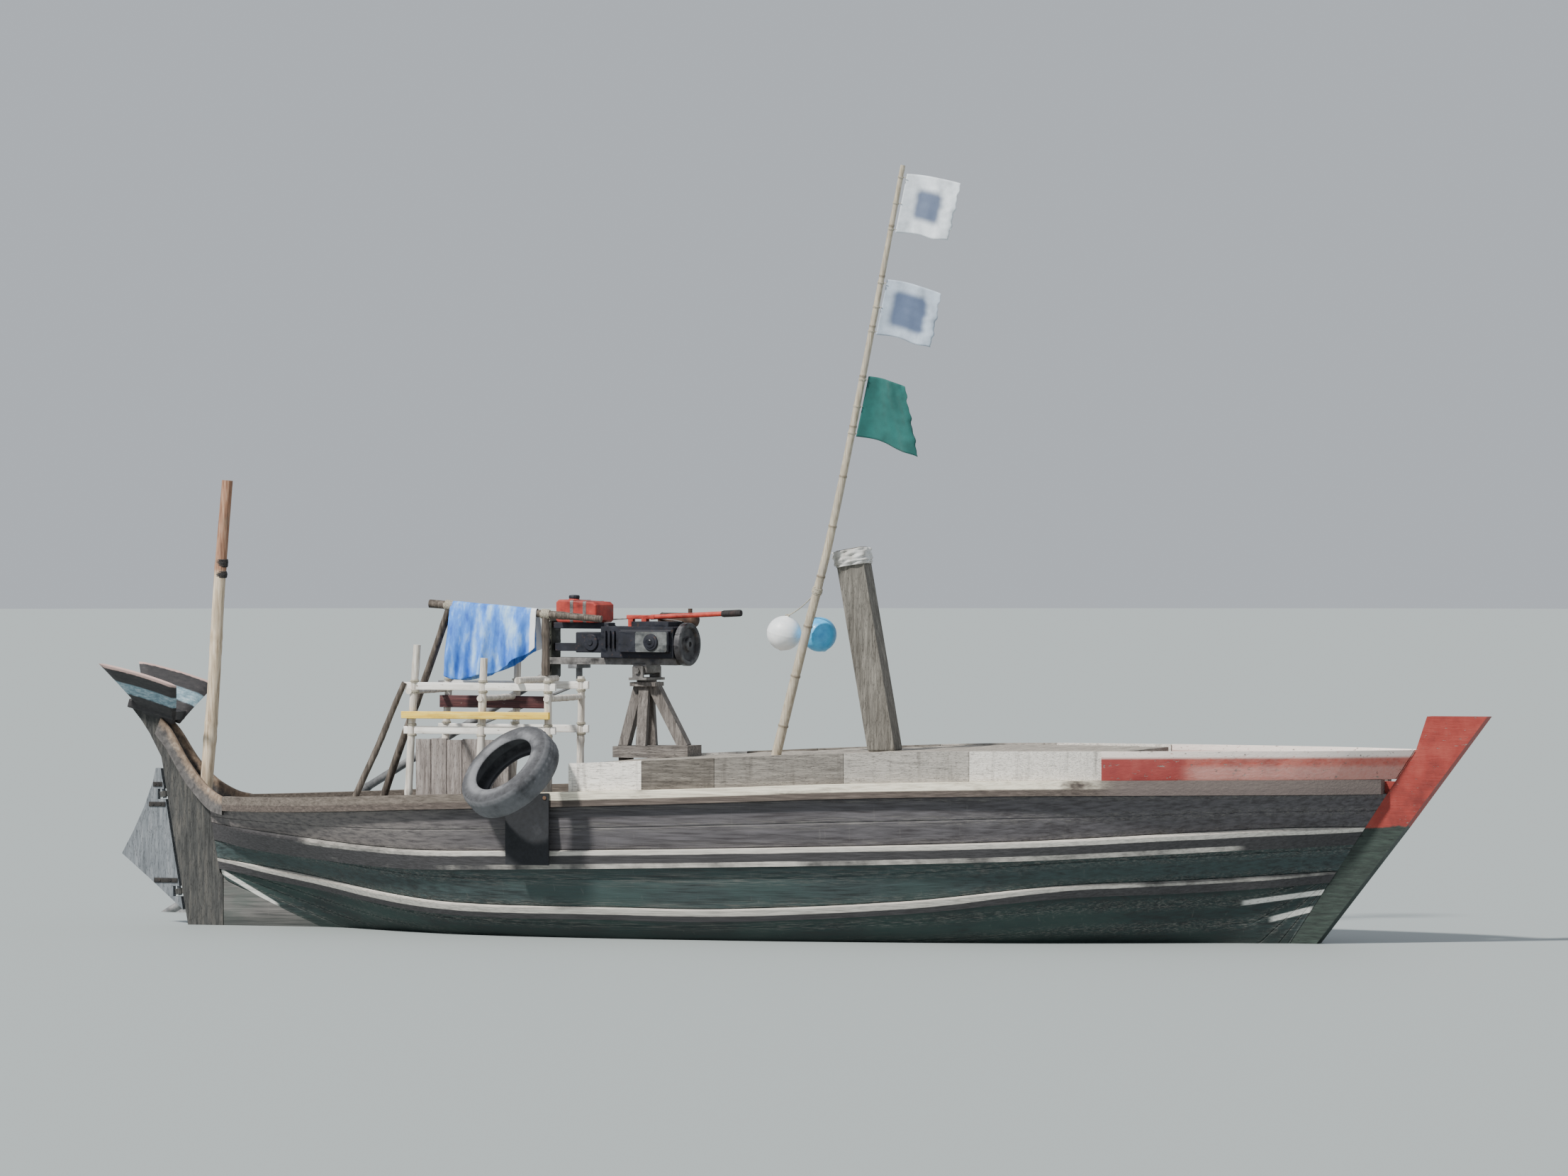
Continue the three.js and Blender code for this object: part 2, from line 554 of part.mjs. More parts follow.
add('stern_deck', deck(-3440, -3140, underRail, 24, sternDeckWidth), 'greyWood');

const BULKHEAD = 26;
const holdBulkhead = mirrored(insideOutline(HOLD_AFT, PLANK / 2, sheer(HOLD_AFT) - 8));
const holdCoaming = [[-900, sheer(HOLD_AFT) - 8], [900, sheer(HOLD_AFT) - 8], [900, 974], [-900, 974]];
const holdWalls = [holdBulkhead, holdCoaming].map((face) => crossBoard(face, HOLD_AFT, HOLD_AFT + BULKHEAD));
const holdWall = fuse(...holdWalls);
add('hold_bulkhead', cut(holdWall, keelCutter, ...hullCutters), 'greyWood');

// Stern pole, standing on the sternpost between the horns
const sternPole = pole([-3690, 0, 770], [-3550, 0, 2650], 40, 33);
add('stern_pole', cut(sternPole, postClear), 'paleWood');

// Awning rack: two frames of posts and rails, tied by cross bars at their heads
const RACK_Y = { near: -725, far: -150 };
const RACK_POSTS = [
  { foot: -2140, head: -2070, top: 1690 },
  { foot: -1700, head: -1655, top: 1615 },
  { foot: -1262, head: -1262, top: 1500 },
];
const RACK_RAILS = { upper: 1449, middle: 1283, lower: 1195 };
const RAIL_SPAN = [-2150, -1215];
const rackPost = (y) => ({ foot, head, top }) => pole([foot, y, THWART_TOP - 6], [head, y, top], 24, 22);
const rackRail = (y, z) => bar([RAIL_SPAN[0], y, z], [RAIL_SPAN[1], y, z], 30, 46);
const crossBars = [[-2112, 1420], [-1672, 1380], [-1262, 1380]]
  .map(([x, z]) => pole([x, RACK_Y.near, z], [x, RACK_Y.far, z], 18, 18, 8));
const CARRIER = { x: -1432, z: RACK_RAILS.upper + 37, radius: 20 };
const carrierEnds = [RACK_Y.near - 50, RACK_Y.far + 50].map((y) => [CARRIER.x, y, CARRIER.z]);
const carrier = pole(...carrierEnds, CARRIER.radius, CARRIER.radius, 8);
const rackPieces = [RACK_Y.near, RACK_Y.far].flatMap((y) => [
  ...RACK_POSTS.map(rackPost(y)), rackRail(y, RACK_RAILS.upper), rackRail(y, RACK_RAILS.lower),
]);
const rackBrace = pole([-2444, -768, 790], [-2144, RACK_Y.near - 12, 1470], 20, 18, 8);
const thwartFace = box([-3000, -1000], [-600, 600], [THWART_TOP - 80, THWART_TOP + GAP]);
const thwartReach = box([-2200, -1000], [-900, 900], [THWART_TOP - 80, THWART_TOP + GAP]);
const railFace = box([-2520, -2360], [-900, -600], [700, railTop(-2400) + 3]);
add('rack_frame', cut(fuse(...rackPieces, ...crossBars, carrier, rackBrace), thwartReach, railFace), 'paleWood');
const yellowY = RACK_Y.near - 41;
const yellowEnds = [RAIL_SPAN[0], -1240].map((x) => [x, yellowY, RACK_RAILS.middle]);
const yellowRail = bar(...yellowEnds, 30, 44);
add('rack_rail_yellow', yellowRail, 'yellowPaint');
const rackPanel = box([-2275, -1690], [RACK_Y.far - 62, RACK_Y.far - 26], [THWART_TOP + GAP, 1130]);
add('rack_panel', rackPanel, 'greyWood');

// Ridge pole over the rack, held by a leaning crutch and by a short post on a bar laid across the upper rails,
// with a cloth hung over it
const RIDGE_Y = -290;
const RIDGE = [[-2156, RIDGE_Y, 1925], [-1086, RIDGE_Y, 1838]];
const crutch = [[-2590, -60, THWART_TOP - 20], [-2030, RIDGE_Y, 1905]];
const ridgePost = [[CARRIER.x, RIDGE_Y, CARRIER.z + CARRIER.radius + 1], [CARRIER.x, RIDGE_Y, 1866]];
const ridgeBody = fuse(pole(...RIDGE, 25, 22), pole(...crutch, 24, 22), pole(...ridgePost, 24, 22));
add('ridge_pole', cut(ridgeBody, thwartFace), 'greyWood');

// Cloths are closed solids: an arch of even thickness over the pole
function draped({ x: places, hang }, yHalf, topZ, thick) {
  const profile = [[-1, 1], [-0.62, 0.45], [-0.3, 0], [0.3, 0], [0.62, 0.45], [1, 1]];
  const face = (out) => places.map((x, i) => profile.map(([across, down]) => (
    point(x, RIDGE_Y + across * (yHalf + out), topZ(x) + out - down * hang[i])
  )));
  return shell(face(thick), face(0));
}
const ridgeZ = (x) => lerp(RIDGE[0][2], RIDGE[1][2], (x - RIDGE[0][0]) / (RIDGE[1][0] - RIDGE[0][0]));
const AWNING_COLUMNS = { x: [-2016, -1866, -1726, -1606, -1481], hang: [400, 430, 400, 290, 210] };
add('awning_cloth', draped(AWNING_COLUMNS, 90, (x) => ridgeZ(x) + 27, 12), 'blueCloth');

// Mast post with its lashing, and the flag staff that leans on it
const deckCutter = deck(HOLD_AFT, HOLD_FORE - 30, lift(holdTop, GAP), 120, (x) => beam(x) - 31);
const MAST = { foot: point(564, 0, 1040), head: point(352, 0, 2250), wide: 150, deep: 165 };
const mastAt = (u) => MAST.foot.clone().lerp(MAST.head, u).toArray();
const mastBar = (from, to, grow) => bar(mastAt(from), mastAt(to), MAST.wide + grow, MAST.deep + grow);
add('mast_post', cut(mastBar(0, 1, 0), deckCutter), 'greyWood');
add('mast_lashing', cut(mastBar(0.935, 1.008, 56), mastBar(0.8, 1 + GAP / 1200, 2 * GAP)), 'whiteCloth');

const STAFF = [
  [-70, -135, holdTop(-66) - 12], [110, -138, 1720], [262, -142, 2290], [460, -120, 3250], [700, -110, 4470],
];
const staffPath = new THREE.CatmullRomCurve3(STAFF.map((p) => point(...p)));
function sweptRound(curve, count, radiusAt, sides = 8) {
  const frames = curve.computeFrenetFrames(count);
  const rings = steps(count).map((u, i) => {
    const centre = curve.getPointAt(u);
    return Array.from({ length: sides }, (_, k) => {
      const angle = (2 * Math.PI * k) / sides;
      return centre.clone().addScaledVector(frames.normals[i], Math.cos(angle) * radiusAt(u))
        .addScaledVector(frames.binormals[i], Math.sin(angle) * radiusAt(u));
    });
  });
  const position = [...rings.flat(), curve.getPointAt(0), curve.getPointAt(1)].flatMap((p) => p.toArray());
  const index = [];
  const at = (i, k) => i * sides + (k % sides);
  const [start, end] = [rings.length * sides, rings.length * sides + 1];
  for (let k = 0; k < sides; k += 1) {
    for (let i = 0; i < count; i += 1) {
      index.push(at(i, k), at(i, k + 1), at(i + 1, k + 1), at(i, k), at(i + 1, k + 1), at(i + 1, k));
    }
    index.push(start, at(0, k + 1), at(0, k), end, at(count, k), at(count, k + 1));
  }
  if (volume(position, index) < 0) index.reverse();
  const geometry = new THREE.BufferGeometry();
  geometry.setAttribute('position', new THREE.Float32BufferAttribute(position, 3));
  geometry.setIndex(index);
  return geometry;
}
add('flag_staff', cut(sweptRound(staffPath, 10, (u) => lerp(30, 15, u)), deckCutter), 'bamboo');

// Flags: thin slabs that ripple away from the staff
const FLAGS = {
  flag_upper: { low: 4080, high: 4420, length: 335, droop: 60, material: 'whiteCloth' },
  flag_middle: { low: 3490, high: 3810, length: 350, droop: 90, material: 'whiteCloth' },
  flag_lower: { low: 2900, high: 3250, length: 385, droop: 140, material: 'greenCloth' },
};
function staffAt(z) {
  const points = steps(200).map((u) => staffPath.getPointAt(u));
  return points.reduce((best, p) => (Math.abs(p.z - z) < Math.abs(best.z - z) ? p : best));
}
for (const [name, { low, high, length, droop, material }] of Object.entries(FLAGS)) {
  const face = (offset) => steps(5).map((u) => [low, high].map((z) => {
    const hoist = staffAt(z);
    const along = 30 + u * length;
    return point(hoist.x + along, hoist.y + 28 * Math.sin(u * 5.2) + offset, z - droop * u * u);
  }));
  add(name, shell(face(6), face(-6)), material);
}

// Two floats hung on the staff
const ball = (x, y, z, radius) => new THREE.IcosahedronGeometry(radius, 2).translate(x, y, z);
const FLOAT_R = 105;
add('float_white', ball(-66, 20, 1756, FLOAT_R), 'whitePlastic');
add('float_blue', ball(150, 20, 1750, FLOAT_R), 'bluePlastic');

// Fenders on the starboard rail: a worn tyre lying against it and a rubber mat hung over it
const TYRE = { radius: 305, width: 170 };
const tyreHalf = [[1, 0.5], [0.93, 0.9], [0.7, 1], [0.62, 0.72], [0.84, 0.5]];
const tyreProfile = [...tyreHalf, ...tyreHalf.map(([r, w]) => [r, -w]).reverse(), tyreHalf[0]];
const tyrePoints = tyreProfile.map(([r, w]) => new THREE.Vector2(r * TYRE.radius, (w * TYRE.width) / 2));
const tyre = new THREE.LatheGeometry(tyrePoints, 28);
const tyreHang = new THREE.Group();
tyreHang.position.set(-1352, -1112, 968);
const TYRE_AXIS = point(-0.376, -0.643, 0.667).normalize();
tyreHang.quaternion.setFromUnitVectors(point(0, 1, 0), TYRE_AXIS);
boat.add(tyreHang);
add('tyre_fender', geometryOf(solid(tyre)), 'rubber', tyreHang);
const MAT_X = [-1420, -1150];
const matFace = (out) => steps(2).map((u) => {
  const x = lerp(MAT_X[0], MAT_X[1], u);
  const y = -(beam(x) + RAIL_PROUD + 2 + out);
  return [[y, railTop(x) - 4], [y - 2, 600], [y, 430]].map(([across, z]) => point(x, across, z));
});
add('rubber_mat', shell(matFace(12), matFace(0)), 'rubber');

// Rudder: a plank fin with two pins that drop into the post's rings
const RUDDER_HALF = 22;
const RUDDER_TOP = 930;
const rudderFore = (z) => [rudderAxis(z).x + 12, z];
const rudderOutline = [
  rudderFore(88), rudderFore(RUDDER_TOP), [-4004, 932], [-4022, 850], [-4078, 700], [-4150, 550], [-4222, 420],
  [-4030, 262],
];
const blade = sideBoard(rudderOutline, -RUDDER_HALF, RUDDER_HALF);
const notches = IRONS.map((z) => box([postAft(z) - 76, postAft(z)], [-60, 60], [z - 14, z + 48]));
const pins = IRONS.map((z) => pole(alongAxis(z, -8).toArray(), alongAxis(z, 80).toArray(), 12, 12, 12));
add('rudder', fuse(cut(blade, ...notches), ...pins), 'greyWood');

// Engine stand: base plank on the hold deck's aft edge, a prop down to the thwart, and legs to a top plate
const PIVOT = { x: -1120, y: 620, z: 1520 };
const baseOutline = [
  [-1290, 1006], [HOLD_AFT, holdTop(HOLD_AFT) + GAP], [-820, holdTop(-820) + GAP], [-820, 1078], [-1290, 1072],
];
const standPieces = [
  sideBoard(baseOutline, 490, 750),
  box([-1284, -1216], [580, 660], [THWART_TOP + GAP, 1010]),
  bar([-880, PIVOT.y, 1068], [-1078, PIVOT.y, 1440], 80, 62),
  bar([-1262, PIVOT.y, 1060], [-1158, PIVOT.y, 1440], 80, 56),
  bar([-1120, PIVOT.y - 100, 1060], [-1120, PIVOT.y - 34, 1436], 40, 60),
  bar([-1120, PIVOT.y + 100, 1060], [-1120, PIVOT.y + 34, 1436], 40, 60),
  box([-1200, -1040], [PIVOT.y - 80, PIVOT.y + 80], [1428, 1452]),
  pole([PIVOT.x, PIVOT.y, 1450], [PIVOT.x, PIVOT.y, 1464], 60, 60, 16),
];
add('engine_stand', cut(fuse(...standPieces), deckCutter), 'greyWood');

// The engine turns on the stand about a vertical swivel, and tips on the yoke's pin.
// In this group the tail runs towards -X, and the pin is at the origin.
const TAIL_SWING = THREE.MathUtils.degToRad(-12);
const TAIL_DROP = THREE.MathUtils.degToRad(28.5);
const swivel = new THREE.Group();
swivel.position.set(PIVOT.x, PIVOT.y, PIVOT.z);
swivel.rotation.z = TAIL_SWING;
boat.add(swivel);
const engine = new THREE.Group();
swivel.add(engine);

const yokePieces = [
  box([-62, 62], [-108, 108], [-55.5, -40]),
  box([-36, 36], [90, 108], [-41, 26]),
  box([-36, 36], [-108, -90], [-41, 26]),
  pole([0, -100, 0], [0, 100, 0], 12, 12, 16),
];
add('swivel_yoke', fuse(...yokePieces), 'bareSteel', swivel);

const BED = { aft: -666, fore: 250, low: 34, high: 74 };
const TAIL_START = [-647, 0, -4];
const alongTail = (distance, above = 0) => [
  TAIL_START[0] - distance * Math.cos(TAIL_DROP) - above * Math.sin(TAIL_DROP),
  0,
  TAIL_START[2] - distance * Math.sin(TAIL_DROP) + above * Math.cos(TAIL_DROP),
];
const bedPieces = [
  box([BED.aft, BED.fore], [50, 80], [BED.low, BED.high]),
  box([BED.aft, BED.fore], [-80, -50], [BED.low, BED.high]),
  box([-46, 46], [-82, 82], [-12, BED.low + 8]),
  pole([0, -84, 0], [0, 84, 0], 25, 25, 16),
  box([BED.fore - 50, BED.fore], [-80, 80], [BED.low, BED.high]),
];
const bedHole = pole([0, -90, 0], [0, 90, 0], 13, 13, 16);
add('engine_bed', cut(fuse(...bedPieces), bedHole), 'bareSteel', engine);

// Drive case at the engine's aft end: a tall narrow housing on the bed that drops to the tail's bearing
const caseOutline = [
  [-694, -38], [-672, -56], [-648, -56], [-632, -40], [-632, 292], [-648, 308], [-678, 308], [-694, 292],
];
const bedClear = [50 - GAP, -80 - GAP].map((y) => (
  box([BED.aft - GAP, -500], [y, y + 30 + 2 * GAP], [BED.low - GAP, BED.high + GAP])
));
add('drive_case', cut(sideBoard(caseOutline, -54, 54), ...bedClear), 'engineGrey', engine);

// Block with its covers, the shaft to the drive case, a coupling housing and the tank's bearer over them
const BEARER_TOP = 283;
const blockPieces = [
  box([-252, 252], [-118, 118], [BED.high + GAP, 262]),
  box([-110, 236], [-150, 150], [110, 236]),
  box([-60, 200], [-84, 84], [255, 292]),
  box([-630, -450], [-26, 26], [112, 160]),
  box([-460, -240], [-62, 62], [104, 226]),
  box([-630, -240], [-40, 40], [246, BEARER_TOP]),
];
add('engine_block', fuse(...blockPieces), 'engineGrey', engine);
add('flywheel', pole([258, 0, 158], [300, 0, 158], 128, 128, 28), 'engineGrey', engine);
const tankFoot = BEARER_TOP + GAP;
const tankSide = [
  [-572, tankFoot + 14], [-558, tankFoot], [-306, tankFoot], [-290, tankFoot + 14],
  [-290, 388], [-310, 406], [-552, 420], [-572, 404],
];
const tankCap = pole([-505, 0, 409], [-505, 0, 446], 30, 30, 14);
add('fuel_tank', fuse(sideBoard(tankSide, -105, 105), tankCap), 'redPaint', engine);

const mufflerPieces = [
  pole([-20, 186, 300], [240, 186, 300], 44, 44, 14),
  pole([110, 172, 190], [110, 186, 300], 15, 15, 10),
];
add('exhaust_muffler', fuse(...mufflerPieces), 'engineGrey', engine);

const handlePieces = [
  bar([-130, 0, 318], [60, 0, 318], 34, 24),
  pole([40, 0, 318], [640, 0, 346], 15, 15, 10),
  pole([520, 0, 340], [650, 0, 346], 21, 21, 12),
  box([-120, -90], [-17, 17], [262 + GAP, 310]),
  box([-30, 10], [-17, 17], [292 + GAP, 310]),
];
add('tiller_handle', fuse(...handlePieces), 'redPaint', engine);

// Tail: a tube with a bearing at each end, a strut back to the bed and a skeg that guards the propeller
const TAIL_LENGTH = 3550;
const tube = pole(alongTail(52), alongTail(TAIL_LENGTH), 24, 24, 12);
const bearing = pole(alongTail(TAIL_LENGTH - 150), alongTail(TAIL_LENGTH), 31, 31, 14);
const bore = pole(alongTail(TAIL_LENGTH - 130), alongTail(TAIL_LENGTH + 10), 14, 14, 14);
const skegPoints = [[-900, -18], [-42, -18], [-26, -215], [-190, -215]];
const skegOutline = skegPoints.map(([distance, above]) => {
  const [x, , z] = alongTail(TAIL_LENGTH + distance, above);
  return [x, z];
});
const skeg = sideBoard(skegOutline, -5, 5);
const strut = [
  bar([-472, 0, -84], alongTail(900), 26, 14),
  box([-500, -440], [-80, 80], [BED.low - 24, BED.low - GAP]),
  box([-486, -454], [-13, 13], [-96, BED.low - 20]),
];
const tailWhole = cut(fuse(tube, bearing, skeg, ...strut), bore);
const caseGrown = caseOutline.map(([x, z]) => [x + Math.sign(x + 616) * GAP, z + Math.sign(z - 100) * GAP]);
add('tail_tube', cut(tailWhole, sideBoard(caseGrown, -59, 59)), 'bareSteel', engine);

// Propeller: two blades on a hub, its shaft turning in the tail's bore
const PROP = { radius: 155, hub: 26, chord: 92, thick: 8 };
function propBlade(turn) {
  const face = (offset) => steps(4).map((u) => {
    const radius = lerp(PROP.hub - 8, PROP.radius, u);
    const pitch = lerp(0.95, 0.42, u);
    const half = (PROP.chord / 2) * Math.sqrt(Math.max(1 - (1.7 * u - 0.85) ** 2 * 0.8, 0.12));
    return [-1, 0, 1].map((side) => {
      const across = side * half;
      const camber = offset * (side === 0 ? PROP.thick / 2 : 1.5);
      const [sine, cosine] = [Math.sin(pitch), Math.cos(pitch)];
      return point(across * sine + camber * cosine, across * cosine - camber * sine, radius);
    });
  });
  return shell(face(1), face(-1)).rotateX(turn);
}
const hub = pole([-78, 0, 0], [-16, 0, 0], 15, PROP.hub, 14);
const hubNose = pole([-17, 0, 0], [-6, 0, 0], PROP.hub, 20, 14);
const propShaft = pole([-10, 0, 0], [110, 0, 0], 12, 12, 12);
const hubBody = fuse(hub, hubNose, propShaft);
const bladeSet = [0, Math.PI].map((turn) => propBlade(turn).translate(-46, 0, 0));
const propeller = add('propeller', fuse(hubBody, ...bladeSet), 'castBronze', engine);
propeller.position.set(...alongTail(TAIL_LENGTH));
propeller.rotation.y = -TAIL_DROP;

export default boat;
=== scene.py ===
# A wooden longtail fishing boat, afloat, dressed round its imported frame. Metres: +X to the bow, +Y to port,
# +Z up, with the origin on the waterline at the hull's middle.
import json
from math import radians

import bpy
import numpy as np
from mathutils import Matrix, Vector


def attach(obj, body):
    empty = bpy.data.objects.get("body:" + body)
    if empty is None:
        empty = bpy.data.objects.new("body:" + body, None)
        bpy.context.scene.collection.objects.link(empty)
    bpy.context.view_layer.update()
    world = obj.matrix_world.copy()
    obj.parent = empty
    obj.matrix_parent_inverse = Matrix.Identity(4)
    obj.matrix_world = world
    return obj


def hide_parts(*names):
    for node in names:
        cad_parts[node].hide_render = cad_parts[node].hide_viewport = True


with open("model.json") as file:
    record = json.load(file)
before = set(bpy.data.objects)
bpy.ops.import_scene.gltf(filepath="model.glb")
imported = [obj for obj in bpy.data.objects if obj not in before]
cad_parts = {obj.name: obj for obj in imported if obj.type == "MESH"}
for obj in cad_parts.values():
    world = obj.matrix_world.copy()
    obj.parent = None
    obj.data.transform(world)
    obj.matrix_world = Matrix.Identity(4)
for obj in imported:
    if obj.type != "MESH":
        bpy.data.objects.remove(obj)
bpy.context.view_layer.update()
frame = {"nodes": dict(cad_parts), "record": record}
boat_body = "hull"


# Hull lines. The planks bend round sections drawn as one curve from the keel's groove up to the sheer, and
# every strake, wale, rail and deck edge is set out from the same lines.
STATION = {  # x: half beam, rail top, then the curve's two handles out and up, as parts of beam and depth
    -3.646: (0.051, 0.772, 0.15, 0.30, 0.62, 0.62),
    -3.500: (0.200, 0.774, 0.15, 0.30, 0.62, 0.62),
    -3.260: (0.380, 0.777, 0.12, 0.30, 0.60, 0.60),
    -2.900: (0.580, 0.786, 0.18, 0.28, 0.66, 0.55),
    -2.460: (0.760, 0.803, 0.32, 0.20, 0.80, 0.46),
    -1.900: (0.900, 0.826, 0.50, 0.12, 0.92, 0.38),
    -1.200: (0.960, 0.848, 0.60, 0.07, 0.97, 0.32),
    -0.300: (0.980, 0.880, 0.62, 0.06, 0.98, 0.30),
    0.600: (0.960, 0.916, 0.56, 0.08, 0.95, 0.33),
    1.500: (0.880, 0.937, 0.42, 0.12, 0.88, 0.40),
    2.200: (0.720, 0.943, 0.25, 0.20, 0.72, 0.50),
    2.800: (0.500, 0.945, 0.10, 0.30, 0.55, 0.62),
    3.200: (0.320, 0.945, 0.12, 0.32, 0.56, 0.64),
    3.568: (0.061, 0.945, 0.20, 0.33, 0.60, 0.66),
}
STATION_X = np.array(list(STATION))
BEAM, RAIL_TOP, FLOOR_OUT, FLOOR_UP, BILGE_OUT, BILGE_UP = np.array(list(STATION.values())).T
STEM_FOOT, STEM_RAKE = 3.000, 0.66
RABBET = np.array([
    (-3.660, 0.771), (-3.580, 0.317), (-3.540, 0.271), (-3.155, 0.093), (-2.800, -0.060), (-2.400, -0.190),
    (-1.900, -0.280), (-1.200, -0.330), (0.000, -0.350), (1.500, -0.340), (2.300, -0.310), (2.815, -0.280),
    (STEM_FOOT, 0.000), (STEM_FOOT + STEM_RAKE * 1.2, 1.200),
])
UPPER_WALE = np.array([
    (-3.620, 0.612), (-3.350, 0.588), (-2.170, 0.504), (-1.500, 0.507), (-0.100, 0.539), (1.550, 0.591),
    (2.980, 0.666), (3.530, 0.669),
])
LOWER_WALE = np.array([
    (-3.600, 0.402), (-2.900, 0.316), (-1.950, 0.201), (-0.770, 0.186), (-0.130, 0.186), (0.930, 0.244),
    (1.810, 0.338), (2.480, 0.368), (3.300, 0.418),
])
WASHBOARD_TOP = np.array([(-1.050, 1.016), (0.850, 1.097), (2.080, 1.108), (3.700, 1.113)])
RAIL_DEPTH, PLANK, FIT = 0.085, 0.028, 0.0003
POST_HALF, KEEL_HALF, STEM_HALF = 0.050, 0.0453, 0.060
POST_FORE, STEM_AFT = -3.500, 2.815
HOLD_AFT, HOLD_FORE = -1.050, 2.080
HANDS = (("port", 1), ("starboard", -1))


def fair(xs, values, x):
    """Smooth line through a table: a cubic between rows, whose slope at a row is that between its neighbours."""
    x = np.clip(x, xs[0], xs[-1])
    slope = np.empty_like(values)
    slope[1:-1] = (values[2:] - values[:-2]) / (xs[2:] - xs[:-2])
    slope[0] = (values[1] - values[0]) / (xs[1] - xs[0])
    slope[-1] = (values[-1] - values[-2]) / (xs[-1] - xs[-2])
    i = np.clip(np.searchsorted(xs, x) - 1, 0, len(xs) - 2)
    span = xs[i + 1] - xs[i]
    t = (x - xs[i]) / span
    rise, m0, m1 = values[i + 1] - values[i], slope[i] * span, slope[i + 1] * span
    return values[i] + t * (m0 + t * (3 * rise - 2 * m0 - m1 + t * (m0 + m1 - 2 * rise)))


def beam(x):
    return np.maximum(fair(STATION_X, BEAM, x), POST_HALF + 0.001)


def rail_top(x):
    return fair(STATION_X, RAIL_TOP, x)


def sheer(x):
    return rail_top(x) - RAIL_DEPTH


def rabbet(x):
    return np.interp(x, *RABBET.T)


def upper_wale(x):
    return fair(*UPPER_WALE.T, x)


def lower_wale(x):
    return fair(*LOWER_WALE.T, x)


def wash_top(x):
    return fair(*WASHBOARD_TOP.T, x)


def stem_face(z):
    return STEM_FOOT + STEM_RAKE * z


def stern_face(z):
    return np.interp(z, RABBET[:5, 1][::-1], RABBET[:5, 0][::-1])


def breadth(x, z):
    """Half breadth at x and height z: the section's curve B(t) is halved 22 times for the t whose height is z."""
    widening = np.minimum(KEEL_HALF + (x - STEM_AFT) * 0.15, STEM_HALF)
    siding = np.where(x < POST_FORE, POST_HALF, np.where(x > STEM_AFT, widening, KEEL_HALF))
    wide, low = beam(x) - siding, rabbet(x)
    deep = sheer(x) - low
    out1, up1 = fair(STATION_X, FLOOR_OUT, x) * wide, fair(STATION_X, FLOOR_UP, x) * deep
    out2, up2 = fair(STATION_X, BILGE_OUT, x) * wide, fair(STATION_X, BILGE_UP, x) * deep
    t, step = np.full(np.shape(x), 0.5), 0.25
    for _ in range(22):
        height = low + 3 * t * (1 - t) ** 2 * up1 + 3 * t**2 * (1 - t) * up2 + t**3 * deep
        t = np.where(height < z, t + step, t - step)
        step /= 2
    return siding + 3 * t * (1 - t) ** 2 * out1 + 3 * t**2 * (1 - t) * out2 + t**3 * wide


def hull_skin(side, u, line, proud):
    """Point of the planked side. u runs 0 to 1 from the stern's groove to the stem's, closer set at both ends,
    line(x) is the height there, and the point stands "proud" of the side along the side's own normal."""
    spread = (1 - np.cos(np.pi * u)) / 4 + u / 2
    aft, fore = np.full(np.shape(u), POST_FORE), np.full(np.shape(u), 2.9)
    for _ in range(30):
        aft, fore = stern_face(line(aft)), stem_face(line(fore))
    x = aft + FIT + spread * (fore - aft - 2 * FIT)
    z = np.maximum(line(x), rabbet(x) + 0.0001)
    y = breadth(x, z)
    rise = np.where(sheer(x) - rabbet(x) > 0.08, 0.012, 0.004)
    slope_x = (breadth(x + 0.02, z) - breadth(x - 0.02, z)) / 0.04
    slope_z = (breadth(x, z + rise) - y) / rise
    length = np.sqrt(slope_x**2 + 1 + slope_z**2)
    out = [x - slope_x / length * proud, y + proud / length, z - slope_z / length * proud]
    out[0] = np.clip(out[0], stern_face(line(x)) + FIT, stem_face(line(x)) - FIT)
    clear = np.where(x < POST_FORE, POST_HALF - PLANK, np.where(x > STEM_AFT, STEM_HALF - PLANK, KEEL_HALF))
    out[1] = side * np.maximum(out[1], clear + np.minimum(proud + PLANK, 0))
    return np.stack(out, axis=-1)


